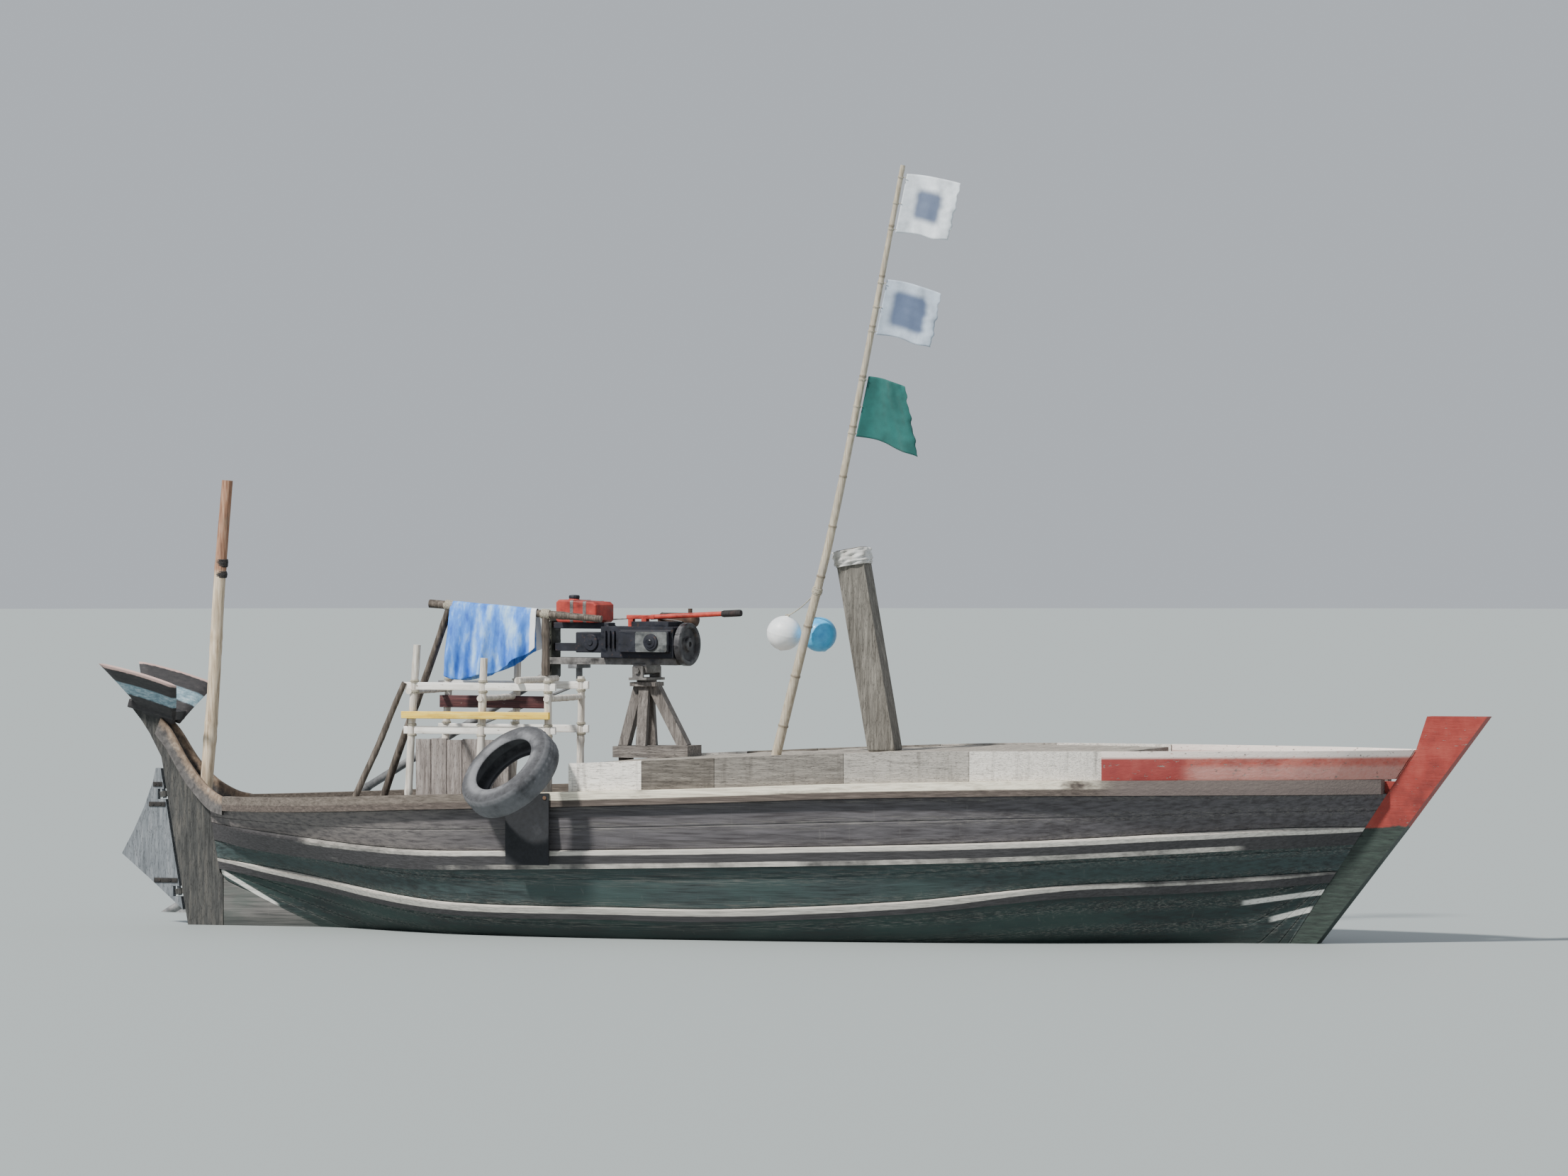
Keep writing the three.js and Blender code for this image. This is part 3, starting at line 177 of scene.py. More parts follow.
def piece_from(name, grids, around=True, looped=False, smooth=40, marks=None, body=boat_body):
    """One mesh from grids of points [rows, columns, xyz]. Columns close into a ring where "around" is set, rows
    where "looped" is set too, and open ends are then closed with fans. UV is metres along the rows and columns,
    and each mark is a grid [rows, columns] kept as a float attribute. "smooth" is the angle up to which edges
    are shaded soft."""
    points, faces, uvs, kept, base = [], [], [], {key: [] for key in marks or {}}, 0
    for k, grid in enumerate(grids):
        grid = np.asarray(grid, float)
        rows, cols = grid.shape[:2]
        index = base + np.arange(rows * cols).reshape(rows, cols)
        whole = grid
        if around:
            index = np.concatenate([index, index[:, :1]], axis=1)
            whole = np.concatenate([whole, whole[:, :1]], axis=1)
        if looped:
            index = np.concatenate([index, index[:1]])
            whole = np.concatenate([whole, whole[:1]])
        along = np.concatenate([[0], np.cumsum(np.linalg.norm(np.diff(whole, axis=0), axis=2).mean(axis=1))])
        across = np.concatenate([[0], np.cumsum(np.linalg.norm(np.diff(whole, axis=1), axis=2).mean(axis=0))])
        quads = np.stack([index[:-1, :-1], index[1:, :-1], index[1:, 1:], index[:-1, 1:]], axis=-1)
        uv = np.stack(np.meshgrid(along, across, indexing="ij"), axis=-1)
        quad_uv = np.stack([uv[:-1, :-1], uv[1:, :-1], uv[1:, 1:], uv[:-1, 1:]], axis=2)
        points.append(grid.reshape(-1, 3))
        faces += quads.reshape(-1, 4).tolist()
        uvs.append(quad_uv.reshape(-1, 2))
        for key in kept:
            kept[key].append(np.broadcast_to(marks[key][k], (rows, cols)).ravel())
        base += rows * cols
        if around and not looped:
            for row, order in ((0, 1), (-1, -1)):
                ends = index[row, :-1][::order]
                points.append(grid[row].mean(axis=0)[None])
                faces += np.stack([ends, np.roll(ends, -1), np.full(cols, base)], axis=-1).tolist()
                uvs.append(np.zeros((cols * 3, 2)))
                for key in kept:
                    kept[key].append(np.mean(np.broadcast_to(marks[key][k], (rows, cols))[row])[None])
                base += 1
    mesh = bpy.data.meshes.new(name)
    mesh.from_pydata(np.concatenate(points).tolist(), [], faces)
    mesh.uv_layers.new(name="UVMap").uv.foreach_set("vector", np.concatenate(uvs).ravel())
    for key, values in kept.items():
        mesh.attributes.new(key, "FLOAT", "POINT").data.foreach_set("value", np.concatenate(values))
    if around:
        mesh.calc_loop_triangles()
        corners = np.empty(len(mesh.loop_triangles) * 3, int)
        mesh.loop_triangles.foreach_get("vertices", corners)
        a, b, c = np.concatenate(points)[corners.reshape(-1, 3)].transpose(1, 0, 2)
        signed = np.einsum("ij,ij->", a, np.cross(b, c))
        if signed < 0:
            mesh.flip_normals()
    mesh.shade_smooth()
    mesh.set_sharp_from_angle(angle=radians(smooth))
    piece = bpy.data.objects.new(name, mesh)
    bpy.context.collection.objects.link(piece)
    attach(piece, body)
    return piece


def dress(piece, material, node=None):
    """A piece's material and slot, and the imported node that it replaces, if there is one."""
    piece.data.materials.append(material)
    if node:
        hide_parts(node)
    return piece


# Planking, each side: bottom, side and sheer strakes of sawn teak, 28 mm thick, edge to edge with caulked
# seams, tarred black. The tar has weathered to a greenish grey low down and is scuffed along the seams.
SEAM_HALF, SEAM_DEEP = 0.006, 0.0045
TAR_BLACK, TAR_GREEN, TAR_WET = (0.008, 0.013, 0.014), (0.030, 0.060, 0.054), (0.010, 0.018, 0.016)
SCUFF, BARED_END = (0.22, 0.21, 0.19), (0.72, 0.72, 0.68)
WORN_ENDS = (  # aft point and fore point (x, z) of each worn strip, half its width
    ((-3.58, 0.330), (-3.19, 0.112), 0.020),
    ((2.74, 0.232), (3.24, 0.303), 0.018),
    ((2.88, 0.134), (3.15, 0.205), 0.020),
)


def shader(name, rough, **sockets):
    """A new material with one principled shader; returns the material and its node tree."""
    material = bpy.data.materials.new(name)
    material.use_nodes = True
    tree = material.node_tree
    principled = tree.nodes["Principled BSDF"]
    principled.inputs["Roughness"].default_value = rough
    for socket, value in sockets.items():
        principled.inputs[socket.replace("_", " ")].default_value = value
    return material, tree


def toned(colour, share):
    """A colour made darker or paler by a share, no part of it above 1."""
    return tuple(min(share * c, 1) for c in colour)


def noise(tree, stretch, scale, detail, rough=0.6, turn=(0, 0, 0)):
    """Noise over Object coordinates, with the coordinates stretched first; returns its height socket."""
    coords = tree.nodes.new("ShaderNodeTexCoord")
    mapping = tree.nodes.new("ShaderNodeMapping")
    mapping.inputs["Scale"].default_value = stretch
    mapping.inputs["Rotation"].default_value = turn
    texture = tree.nodes.new("ShaderNodeTexNoise")
    texture.inputs["Scale"].default_value = scale
    texture.inputs["Detail"].default_value = detail
    texture.inputs["Roughness"].default_value = rough
    tree.links.new(coords.outputs["Object"], mapping.inputs["Vector"])
    tree.links.new(mapping.outputs["Vector"], texture.inputs["Vector"])
    return texture.outputs["Fac"]


def ramp(tree, socket, stops):
    """Colour ramp on a socket: stops are (place, colour), a colour being one number or three."""
    node = tree.nodes.new("ShaderNodeValToRGB")
    while len(node.color_ramp.elements) < len(stops):
        node.color_ramp.elements.new(0.5)
    for element, (place, colour) in zip(node.color_ramp.elements, stops):
        element.position = place
        element.color = (*colour, 1) if isinstance(colour, tuple) else (colour, colour, colour, 1)
    tree.links.new(socket, node.inputs["Fac"])
    return node.outputs["Color"]


def mixed(tree, amount, first, second, share=1):
    """Mix of two colours (sockets or tuples) by a share of an amount (a socket)."""
    node = tree.nodes.new("ShaderNodeMix")
    node.data_type, node.clamp_factor = "RGBA", True
    if share != 1:
        amount = times(tree, amount, share)
    for key, value in (("Factor", amount), ("A", first), ("B", second)):
        colours = key != "Factor"
        target = next(s for s in node.inputs if s.name == key and s.enabled and (s.type == "RGBA") == colours)
        if isinstance(value, tuple):
            target.default_value = (*value, 1)
        else:
            tree.links.new(value, target)
    return next(s for s in node.outputs if s.type == "RGBA" and s.enabled)


def calc(tree, kind, *values):
    """One Math node; each value is a number or a socket."""
    node = tree.nodes.new("ShaderNodeMath")
    node.operation = kind
    for target, value in zip(node.inputs, values):
        if isinstance(value, (int, float)):
            target.default_value = value
        else:
            tree.links.new(value, target)
    return node.outputs[0]


def times(tree, *values):
    return calc(tree, "MULTIPLY", *values)


def band_of(tree, socket, low, high):
    """0 below low, 1 above high, smooth between."""
    node = tree.nodes.new("ShaderNodeMapRange")
    node.interpolation_type = "SMOOTHSTEP"
    node.inputs["From Min"].default_value = low
    node.inputs["From Max"].default_value = high
    tree.links.new(socket, node.inputs["Value"])
    return node.outputs["Result"]


def below(tree, socket, low, high):
    """1 below low, 0 above high, smooth between."""
    return calc(tree, "SUBTRACT", 1, band_of(tree, socket, low, high))


def place(tree, axis):
    """Object coordinate along X, Y or Z, in metres."""
    coords = tree.nodes.new("ShaderNodeTexCoord")
    split = tree.nodes.new("ShaderNodeSeparateXYZ")
    tree.links.new(coords.outputs["Object"], split.inputs[0])
    return split.outputs[axis]


def mark(tree, name):
    """A float attribute that the mesh carries."""
    node = tree.nodes.new("ShaderNodeAttribute")
    node.attribute_name = name
    return node.outputs["Fac"]


def coat(material, colour, *bumps, rough=None):
    """Links the material's colour, its roughness as (socket, stops), and its bumps, each (height socket, strength,
    distance) and stacked on the one before it; returns the material."""
    tree, normal = material.node_tree, None
    principled = tree.nodes["Principled BSDF"]
    tree.links.new(colour, principled.inputs["Base Color"])
    if rough:
        tree.links.new(ramp(tree, *rough), principled.inputs["Roughness"])
    for socket, strength, distance in bumps:
        bump = tree.nodes.new("ShaderNodeBump")
        bump.inputs["Strength"].default_value, bump.inputs["Distance"].default_value = strength, distance
        tree.links.new(socket, bump.inputs["Height"])
        if normal:
            tree.links.new(normal, bump.inputs["Normal"])
        normal = bump.outputs["Normal"]
        tree.links.new(normal, principled.inputs["Normal"])
    return material


def worn_strip(tree, aft, fore, half):
    """1 within "half" of the line between two points (x, z) of the side and between their X, soft at the edge."""
    slope = (fore[1] - aft[1]) / (fore[0] - aft[0])
    x = place(tree, "X")
    line = calc(tree, "ADD", aft[1] - slope * aft[0], times(tree, x, slope))
    off = calc(tree, "ABSOLUTE", calc(tree, "SUBTRACT", place(tree, "Z"), line))
    soft = 0.05
    across = below(tree, off, 0.6 * half, half)
    along = times(tree, band_of(tree, x, aft[0], aft[0] + soft), below(tree, x, fore[0] - soft, fore[0]))
    return times(tree, across, along)


def tarred_planks(name, black, grey, green, bared=(), paler_aft=None):
    """Tar over grain: streaked black to grey along the plank, green-grey near the water, pale scuffs at seams, and
    plank ends worn to the wood in each strip of "bared" (aft point, fore point, half width). Towards the stern the
    grain is made paler, towards the colour given as "paler_aft"."""
    material, tree = shader(name, 0.75)
    grain = noise(tree, (1.2, 14, 22), 3.0, 7)
    colour = ramp(tree, grain, [(0.34, black), (0.52, grey), (0.72, toned(grey, 1.6))])
    blotch = noise(tree, (0.8, 1, 2.2), 2.1, 4)
    low = times(tree, band_of(tree, blotch, 0.42, 0.62), below(tree, place(tree, "Z"), 0.15, 0.62))
    colour = mixed(tree, low, colour, green, 0.7)
    # Towards the stern the colour is mixed towards a paler brownish grey, more so where the grain is high.
    if paler_aft:
        aft = below(tree, place(tree, "X"), -2.5, -1.3)
        dust = calc(tree, "ADD", 0.25, times(tree, band_of(tree, grain, 0.35, 0.65), 0.6))
        colour = mixed(tree, times(tree, aft, dust), colour, paler_aft)
    runs = noise(tree, (16, 16, 0.9), 2.4, 5)
    colour = mixed(tree, band_of(tree, runs, 0.60, 0.78), colour, SCUFF, 0.22)
    scratches = noise(tree, (1.0, 30, 46), 4.0, 8, 0.7)
    worn = times(tree, mark(tree, "seam"), band_of(tree, scratches, 0.46, 0.66))
    colour = mixed(tree, worn, colour, SCUFF, 0.6)
    wet = below(tree, place(tree, "Z"), 0.02, 0.10)
    colour = mixed(tree, wet, colour, TAR_WET, 0.6)
    for aft, fore, half in bared:
        strip = worn_strip(tree, aft, fore, half)
        colour = mixed(tree, strip, colour, ramp(tree, scratches, [(0.3, SCUFF), (0.5, BARED_END)]))
    return coat(
        material, colour, (grain, 0.35, 0.01), (scratches, 0.15, 0.004), rough=(grain, [(0.3, 0.55), (0.7, 0.9)]),
    )


tar_bottom = tarred_planks("tarred_bottom", TAR_BLACK, (0.020, 0.034, 0.034), TAR_GREEN, WORN_ENDS)
tar_side = tarred_planks("tarred_side", (0.012, 0.019, 0.020), (0.036, 0.055, 0.056), (0.040, 0.074, 0.070))
tar_sheer = tarred_planks(
    "tarred_sheer", (0.035, 0.030, 0.034), (0.080, 0.075, 0.082), (0.060, 0.075, 0.075), paler_aft=(0.19, 0.17, 0.16),
)


def between(low, high, part):
    return lambda x: low(x) + part * (high(x) - low(x))


def strake_planks(name, low, high, count, material):
    """Each side's planks between two lines: seams at even parts of the height are sunk by a rounded groove, whose
    depth is SEAM_DEEP times (1 - (distance / SEAM_HALF)^2), and the inner face stands one plank further in."""
    height = np.mean([high(x) - low(x) for x in np.linspace(-2.5, 2.5, 9)])
    seam = SEAM_HALF / height
    edges = np.arange(count + 1) / count
    inner = np.concatenate([e + seam * np.array([-1, -0.5, 0, 0.5, 1]) for e in edges[1:-1]])
    plain = np.concatenate([a + (b - a) * np.array([0.06, 0.35, 0.65, 0.94]) for a, b in zip(edges, edges[1:])])
    parts = np.unique(np.concatenate([[0, seam, 1 - seam, 1], inner, plain]))
    nearest = np.abs(parts[:, None] - edges[None]).min(axis=1) / seam
    groove = SEAM_DEEP * np.clip(1 - nearest**2, 0, 1)
    wear = np.clip(1.35 - 0.22 * nearest, 0, 1)
    u = np.linspace(0, 1, 121)
    for hand, side in HANDS:
        outer = [hull_skin(side, u, between(low, high, p), -g) for p, g in zip(parts, groove)]
        inside = [hull_skin(side, u, between(low, high, p), -PLANK) for p in (1, 0.75, 0.5, 0.25, 0)]
        marks = np.concatenate([wear, np.zeros(len(inside))])[None]
        piece = piece_from(f"{name}_planks_{hand}", [np.stack(outer + inside, axis=1)], marks={"seam": [marks]})
        dress(piece, material, f"{name}_{hand}")


def lower_foot(x):
    return lower_wale(x) - 0.062


def upper_foot(x):
    return upper_wale(x) - 0.100


frame_slots = {part["node"]: part["material_slot"] for part in frame["record"]["subparts"]}
strake_planks("bottom_planking", rabbet, lambda x: lower_wale(x) - FIT, 5, tar_bottom)
strake_planks("side_strake", lower_wale, lambda x: upper_wale(x) - FIT, 2, tar_side)
strake_planks("sheer_strake", upper_wale, lambda x: sheer(x) - FIT, 2, tar_sheer)


# Wales and rubbing strip: long sawn battens spiked outside the planks, rounded at the corners. Their upper
# edges are worn bare and bleached pale, the faces are still tarred, and both ends run out thin.
WALE_ROUND = 0.010


def uneven(tree, value, grain, amount):
    """The value plus the grain's distance from its middle, times an amount."""
    return calc(tree, "ADD", value, times(tree, calc(tree, "SUBTRACT", grain, 0.5), amount))


def worn_batten(name, dark, pale):
    """Batten finish: the mark "edge" bares the wood over streaked tar."""
    material, tree = shader(name, 0.8)
    grain = noise(tree, (1.0, 20, 26), 4.0, 7, 0.65)
    tar = ramp(tree, grain, [(0.35, dark), (0.7, toned(dark, 2.2))])
    bare = ramp(tree, grain, [(0.3, toned(pale, 0.55)), (0.55, pale), (0.8, toned(pale, 1.25))])
    patch = noise(tree, (0.9, 1, 1), 2.6, 5)
    reach = uneven(tree, mark(tree, "edge"), patch, 1.1)
    colour = mixed(tree, band_of(tree, reach, 0.35, 0.75), tar, bare)
    return coat(material, colour, (grain, 0.4, 0.01))


def batten(name, foot, top, proud, material, worn_to, face_worn, foot_worn, bright_at):
    """A rounded bar along the side: the profile is a rectangle "proud" thick whose outer corners are quarter
    circles of WALE_ROUND, and the thickness falls smoothly to 6 mm over the last 9% at each end. The lower corner
    is worn by foot_worn amidships and less at the ends, and the face is fully worn down to a share of its height.
    "worn_to" lists that share against X, and "bright_at" lists the strength of all wear along the length."""
    turn = np.linspace(0, np.pi / 2, 4)
    u = np.linspace(0, 1, 141)
    fall = np.clip(np.minimum(u, 1 - u) / 0.09, 0, 1)
    thick = 0.006 + (proud - 0.006) * fall**2 * (3 - 2 * fall)
    amidships = np.clip(np.minimum(u - 0.14, 0.91 - u) / 0.05, 0.42, 1)
    bright = np.interp(u, *bright_at)
    for hand, side in HANDS:
        columns, edge = [], []

        def column(drop, share, worn):
            def line(x):
                return top(x) - (drop(x) if callable(drop) else drop) * (top(x) - foot(x))

            columns.append(hull_skin(side, u, line, FIT + share * (thick - FIT)))
            edge.append(worn * bright)

        spots = np.linspace(-3, 3, 7)
        corner = WALE_ROUND / np.mean(top(spots) - foot(spots))
        column(0, 0, 1.0)
        column(0, 0.5, 1.0)
        for angle in turn:
            column(corner * (1 - np.sin(angle)), 1 - 0.3 * (1 - np.cos(turn[-1] - angle)), 1.0)
        column(lambda x: np.interp(x, *worn_to), 1, 1.0)
        column(lambda x: np.interp(x, *worn_to) + 0.12, 1, face_worn)
        column(0.66, 1, face_worn)
        column(0.74, 1, np.maximum(face_worn, foot_worn * amidships))
        for angle in turn[::-1]:
            column(1 - corner * (1 - np.sin(angle)), 1 - 0.3 * (1 - np.cos(turn[-1] - angle)), foot_worn * amidships)
        column(1, 0, 0.0)
        grid, edges = np.stack(columns, axis=1), np.stack(edge, axis=1)
        piece = piece_from(f"{name}_batten_{hand}", [grid], marks={"edge": [edges]})
        dress(piece, material, f"{name}_{hand}")


wale_wood = worn_batten("worn_wale", (0.030, 0.029, 0.031), (0.61, 0.58, 0.53))
batten(
    "wale_upper", upper_foot, lambda x: upper_wale(x) - FIT, 0.038, wale_wood,
    worn_to=((-3.4, -1.2), (0.13, 0.19)), face_worn=0.0, foot_worn=0.58,
    bright_at=((0.04, 0.42, 0.98, 1.0), (0.12, 1, 1, 0.6)),
)
batten(
    "wale_lower", lower_foot, lambda x: lower_wale(x) - FIT, 0.026, wale_wood,
    worn_to=((-3.4, -2.4, 1.2, 2.0), (0.24, 0.44, 0.44, 0.22)), face_worn=0.1, foot_worn=0.0,
    bright_at=((0.04, 0.12, 0.62, 0.80, 1), (0.62, 1, 1, 0.62, 0.5)),
)


# Gunwale rail, each side: a heavy sawn rail capping the sheer, rounded by hands and lines. It is weathered
# brown, its top bleached pale from the hold forward, and tar-grey again beside the foredeck.
RAIL_AFT, RAIL_FORE, RAIL_IN, RAIL_OUT = -3.480, 3.548, -0.040, 0.050
CORNER = np.linspace(0, np.pi / 2, 4)


def squared(half_wide, half_high, radius):
    """Points round a rectangle whose corners are quarter circles: centre of each corner plus radius (cos, sin)."""
    centres = ((1, 1, 0), (-1, 1, 1), (-1, -1, 2), (1, -1, 3))
    return np.concatenate([
        np.stack([
            a * (half_wide - radius) + radius * np.cos(CORNER + k * np.pi / 2),
            b * (half_high - radius) + radius * np.sin(CORNER + k * np.pi / 2),
        ], axis=1) for a, b, k in centres
    ])


def raked_beam(x, z):
    """Plan of the boards above the rail: the beam at a place further aft by the stem's rake at that height."""
    t = np.clip((x - 1.5) / 1.8, 0, 1)
    return beam(x - STEM_RAKE * t * t * (3 - 2 * t) * (z - sheer(x)))


def plain_beam(x, z):
    return beam(x)


def edge_board(side, aft, fore, inner, outer, low, high, radius, plan=plain_beam, count=90):
    """Board bent round the side: a rounded rectangle from "inner" to "outer" of the plan's breadth and from low(x)
    to high(x), carried from aft to fore. "fore" may be a function of height, so that the end rakes."""
    profile = squared((outer - inner) / 2, 0.5, radius)
    share = np.linspace(0, 1, count)[:, None]
    height = profile[:, 1][None]
    middle = (outer + inner) / 2
    reach = fore if callable(fore) else (lambda z: np.full(np.shape(z), fore))
    z = high(np.array(3.6))
    for _ in range(2):
        x = aft + share * (reach(z) - aft)
        z = (high(x) + low(x)) / 2 + np.clip(height, -0.5, 0.5) * (high(x) - low(x))
    y = np.maximum(plan(x, z) + middle + profile[:, 0][None], 0.012)
    return np.stack([x, side * y, z], axis=-1)


def patches(tree, low, high, *told):
    """The band from low to high over a noise, which the rest of the arguments describe."""
    return band_of(tree, noise(tree, *told), low, high)


def bleached_rail(name):
    """Brown grain, bared pale on the top face between the hold's aft end and the foredeck, darker at both ends."""
    material, tree = shader(name, 0.82)
    grain = noise(tree, (1.0, 22, 22), 4.0, 7, 0.65)
    browns = [(0.3, (0.045, 0.035, 0.030)), (0.55, (0.105, 0.084, 0.072)), (0.75, (0.19, 0.155, 0.135))]
    brown = ramp(tree, grain, browns)
    bare = ramp(tree, grain, [(0.3, (0.50, 0.44, 0.35)), (0.55, (0.92, 0.86, 0.70))])
    along = place(tree, "X")
    forward = times(tree, band_of(tree, along, -1.45, -1.05), below(tree, along, 1.9, 2.2))
    patch = patches(tree, 0.24, 0.46, (1.2, 4, 4), 2.3, 4)
    bared = times(tree, patch, calc(tree, "ADD", 0.06, times(tree, forward, 0.94)))
    top = times(tree, band_of(tree, mark(tree, "height"), 0.40, 0.50), bared)
    colour = mixed(tree, top, brown, bare)
    colour = mixed(tree, band_of(tree, along, 2.0, 2.25), colour, (0.155, 0.124, 0.117), 0.7)
    return coat(material, colour, (grain, 0.5, 0.01))


rail_wood = bleached_rail("gunwale_wood")
for hand, side in HANDS:
    rail = edge_board(side, RAIL_AFT, RAIL_FORE, RAIL_IN, RAIL_OUT, sheer, rail_top, 0.012)
    height = np.clip((rail[..., 2] - sheer(rail[..., 0])) / RAIL_DEPTH, 0, 1)
    piece = piece_from(f"gunwale_rail_bar_{hand}", [rail], marks={"height": [height]})
    dress(piece, rail_wood, f"gunwale_rail_{hand}")


# Washboards along the hold, each side: five upright boards on the rail, butted end to end. They are unpainted,
# sun-bleached grey-beige with dark cracks and rain streaks.
WASHBOARD_JOINTS = (HOLD_AFT, -0.60, -0.16, 0.61, 1.34, HOLD_FORE - FIT)
BOARD_TONES = (1.0, 0.0, 0.10, 0.32, 0.78)
BOARD_IN, BOARD_OUT, BOARD_ROUND, JOINT_HALF = -0.030, 0.005, 0.006, 0.0015


def bleached_boards(name, dark, middle, pale, stretch, streak=(9, 9, 0.8), whitened=None, crossed=None):
    """Bare weathered timber: grain in three tones, dark drying cracks along it and grey rain streaks down it. With
    "whitened" set, the mark "tone" takes a board from the plain timber to that colour. With "crossed" set to
    (axis, low, high, stretch), the boards that lie between two places on an axis have that other grain."""
    material, tree = shader(name, 0.85)

    def timber(way):
        return noise(tree, way, 4.0, 8, 0.68), noise(tree, tuple(1.7 * c for c in way), 6.0, 3, 0.5)

    grain, cracks = timber(stretch)
    if crossed:
        axis, low, high, other = crossed
        at = place(tree, axis)
        inside = times(tree, calc(tree, "GREATER_THAN", at, low), calc(tree, "LESS_THAN", at, high))
        grain, cracks = (mixed(tree, inside, *pair) for pair in zip((grain, cracks), timber(other)))
    colour = ramp(tree, grain, [(0.28, dark), (0.5, middle), (0.72, pale)])
    if whitened:
        lime = ramp(tree, grain, [(0.25, toned(whitened, 0.55)), (0.45, whitened)])
        colour = mixed(tree, mark(tree, "tone"), colour, lime)
    streaks = patches(tree, 0.52, 0.75, streak, 2.2, 5)
    colour = mixed(tree, streaks, colour, toned(middle, 0.62), 0.55)
    split = below(tree, calc(tree, "ABSOLUTE", calc(tree, "SUBTRACT", cracks, 0.5)), 0.004, 0.022)
    colour = mixed(tree, split, colour, toned(dark, 0.35), 0.55)
    return coat(
        material, colour, (grain, 0.45, 0.01), (calc(tree, "SUBTRACT", 1, split), 0.5, 0.004),
        rough=(grain, [(0.3, 0.95), (0.75, 0.72)]),
    )


def rail_seat(x):
    return rail_top(x) + FIT


washboard_wood = bleached_boards(
    "washboard_wood", (0.050, 0.042, 0.036), (0.135, 0.120, 0.104), (0.27, 0.245, 0.21), (1.0, 18, 16),
    whitened=(0.95, 0.91, 0.84),
)
for hand, side in HANDS:
    boards = [
        edge_board(
            side, aft + JOINT_HALF, fore - JOINT_HALF, BOARD_IN, BOARD_OUT, rail_seat, wash_top, BOARD_ROUND,
            count=24,
        )
        for aft, fore in zip(WASHBOARD_JOINTS, WASHBOARD_JOINTS[1:])
    ]
    tones = [np.array([[tone]]) for tone in BOARD_TONES]
    piece = piece_from(f"washboard_planks_{hand}", boards, marks={"tone": tones})
    dress(piece, washboard_wood, f"washboard_{hand}")


# Bow bulwarks: red painted boards that carry the washboards' line up to the stem. The paint is chalky, gone
# pale pink along the top edge, and flaked to bare grey wood in places.
def flaking_red(name, low_black=None, shade=1.0, worn_from=None):
    """Red paint over grey wood: mottled, chalked pale where the mark "height" nears 1, flaked where noise is high,
    and, on the stem, black below a height. "shade" darkens the red, and its green and blue parts twice over.
    Forward of the X "worn_from" the paint is worn to a pale pinkish brown, most of all in its lower half."""
    material, tree = shader(name, 0.6)
    mottle = noise(tree, (1, 1, 1), 7.0, 6)
    reds = ((0.3, (0.27, 0.042, 0.030)), (0.5, (0.45, 0.080, 0.056)), (0.7, (0.56, 0.16, 0.120)))
    red = ramp(tree, mottle, [(stop, (shade * r, shade**2 * g, shade**2 * b)) for stop, (r, g, b) in reds])
    grain = noise(tree, (2, 16, 16), 5.0, 7, 0.65)
    if worn_from is not None:
        fore = band_of(tree, place(tree, "X"), worn_from, worn_from + 0.14)
        red = mixed(tree, calc(tree, "SUBTRACT", 0.65, times(tree, fore, 0.65)), red, (0.23, 0.030, 0.034))
        low = calc(tree, "SUBTRACT", 0.62, times(tree, band_of(tree, mark(tree, "height"), 0.36, 0.58), 0.44))
        low = uneven(tree, low, grain, 0.8)
        red = mixed(tree, times(tree, low, fore), red, (0.56, 0.35, 0.31))
    chalk = times(tree, band_of(tree, mark(tree, "height"), 0.70, 0.84), band_of(tree, grain, 0.22, 0.42))
    red = mixed(tree, chalk, red, (0.88, 0.78, 0.72))
    flakes = patches(tree, 0.60, 0.66, (3, 9, 9), 5.5, 8, 0.7)
    bare = ramp(tree, grain, [(0.3, (0.13, 0.11, 0.10)), (0.7, (0.36, 0.32, 0.28))])
    colour = mixed(tree, flakes, red, bare)
    if low_black is not None:
        edge = uneven(tree, place(tree, "Z"), mottle, 0.05)
        tar = ramp(tree, grain, [(0.35, (0.008, 0.015, 0.012)), (0.7, (0.034, 0.056, 0.044))])
        colour = mixed(tree, band_of(tree, edge, low_black - 0.006, low_black + 0.006), tar, colour)
    return coat(
        material, colour, (grain, 0.25, 0.01), (calc(tree, "SUBTRACT", 1, flakes), 0.6, 0.003),
        rough=(mottle, [(0.3, 0.5), (0.7, 0.75)]),
    )


bulwark_red = flaking_red("bulwark_red", worn_from=2.48)
for hand, side in HANDS:
    board = edge_board(
        side, HOLD_FORE, lambda z: stem_face(z) - 0.006, BOARD_IN, BOARD_OUT, rail_seat, wash_top, BOARD_ROUND,
        plan=raked_beam,
    )
    foot, top = rail_top(board[..., 0]), wash_top(board[..., 0])
    height = np.clip((board[..., 2] - foot) / (top - foot), 0, 1)
    piece = piece_from(f"bow_bulwark_board_{hand}", [board], marks={"height": [height]})
    dress(piece, bulwark_red, f"bow_bulwark_{hand}")


# Backbone: keel with its deadwood, stem with its apron, and sternpost, sawn from heavy timber. Each keeps its
# sawn faces with the corners eased. The stem's head is painted red and the rest is tarred or bare grey.
def finished(node, material):
    """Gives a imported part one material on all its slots."""
    for slot in frame["nodes"][node].material_slots:
        slot.link = "OBJECT"
        slot.material = material


def eased(node, material, width, segments=2):
    """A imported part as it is, in one material, with its triangles welded and its corners rounded by a bevel of this
    width."""
    finished(node, material)
    piece = frame["nodes"][node]
    weld = piece.modifiers.new("weld", "WELD")
    weld.merge_threshold = 0.00005
    bevel = piece.modifiers.new("eased_corners", "BEVEL")
    bevel.width, bevel.segments = width, segments
    bevel.limit_method, bevel.angle_limit = "ANGLE", radians(32)
    bevel.use_clamp_overlap = True


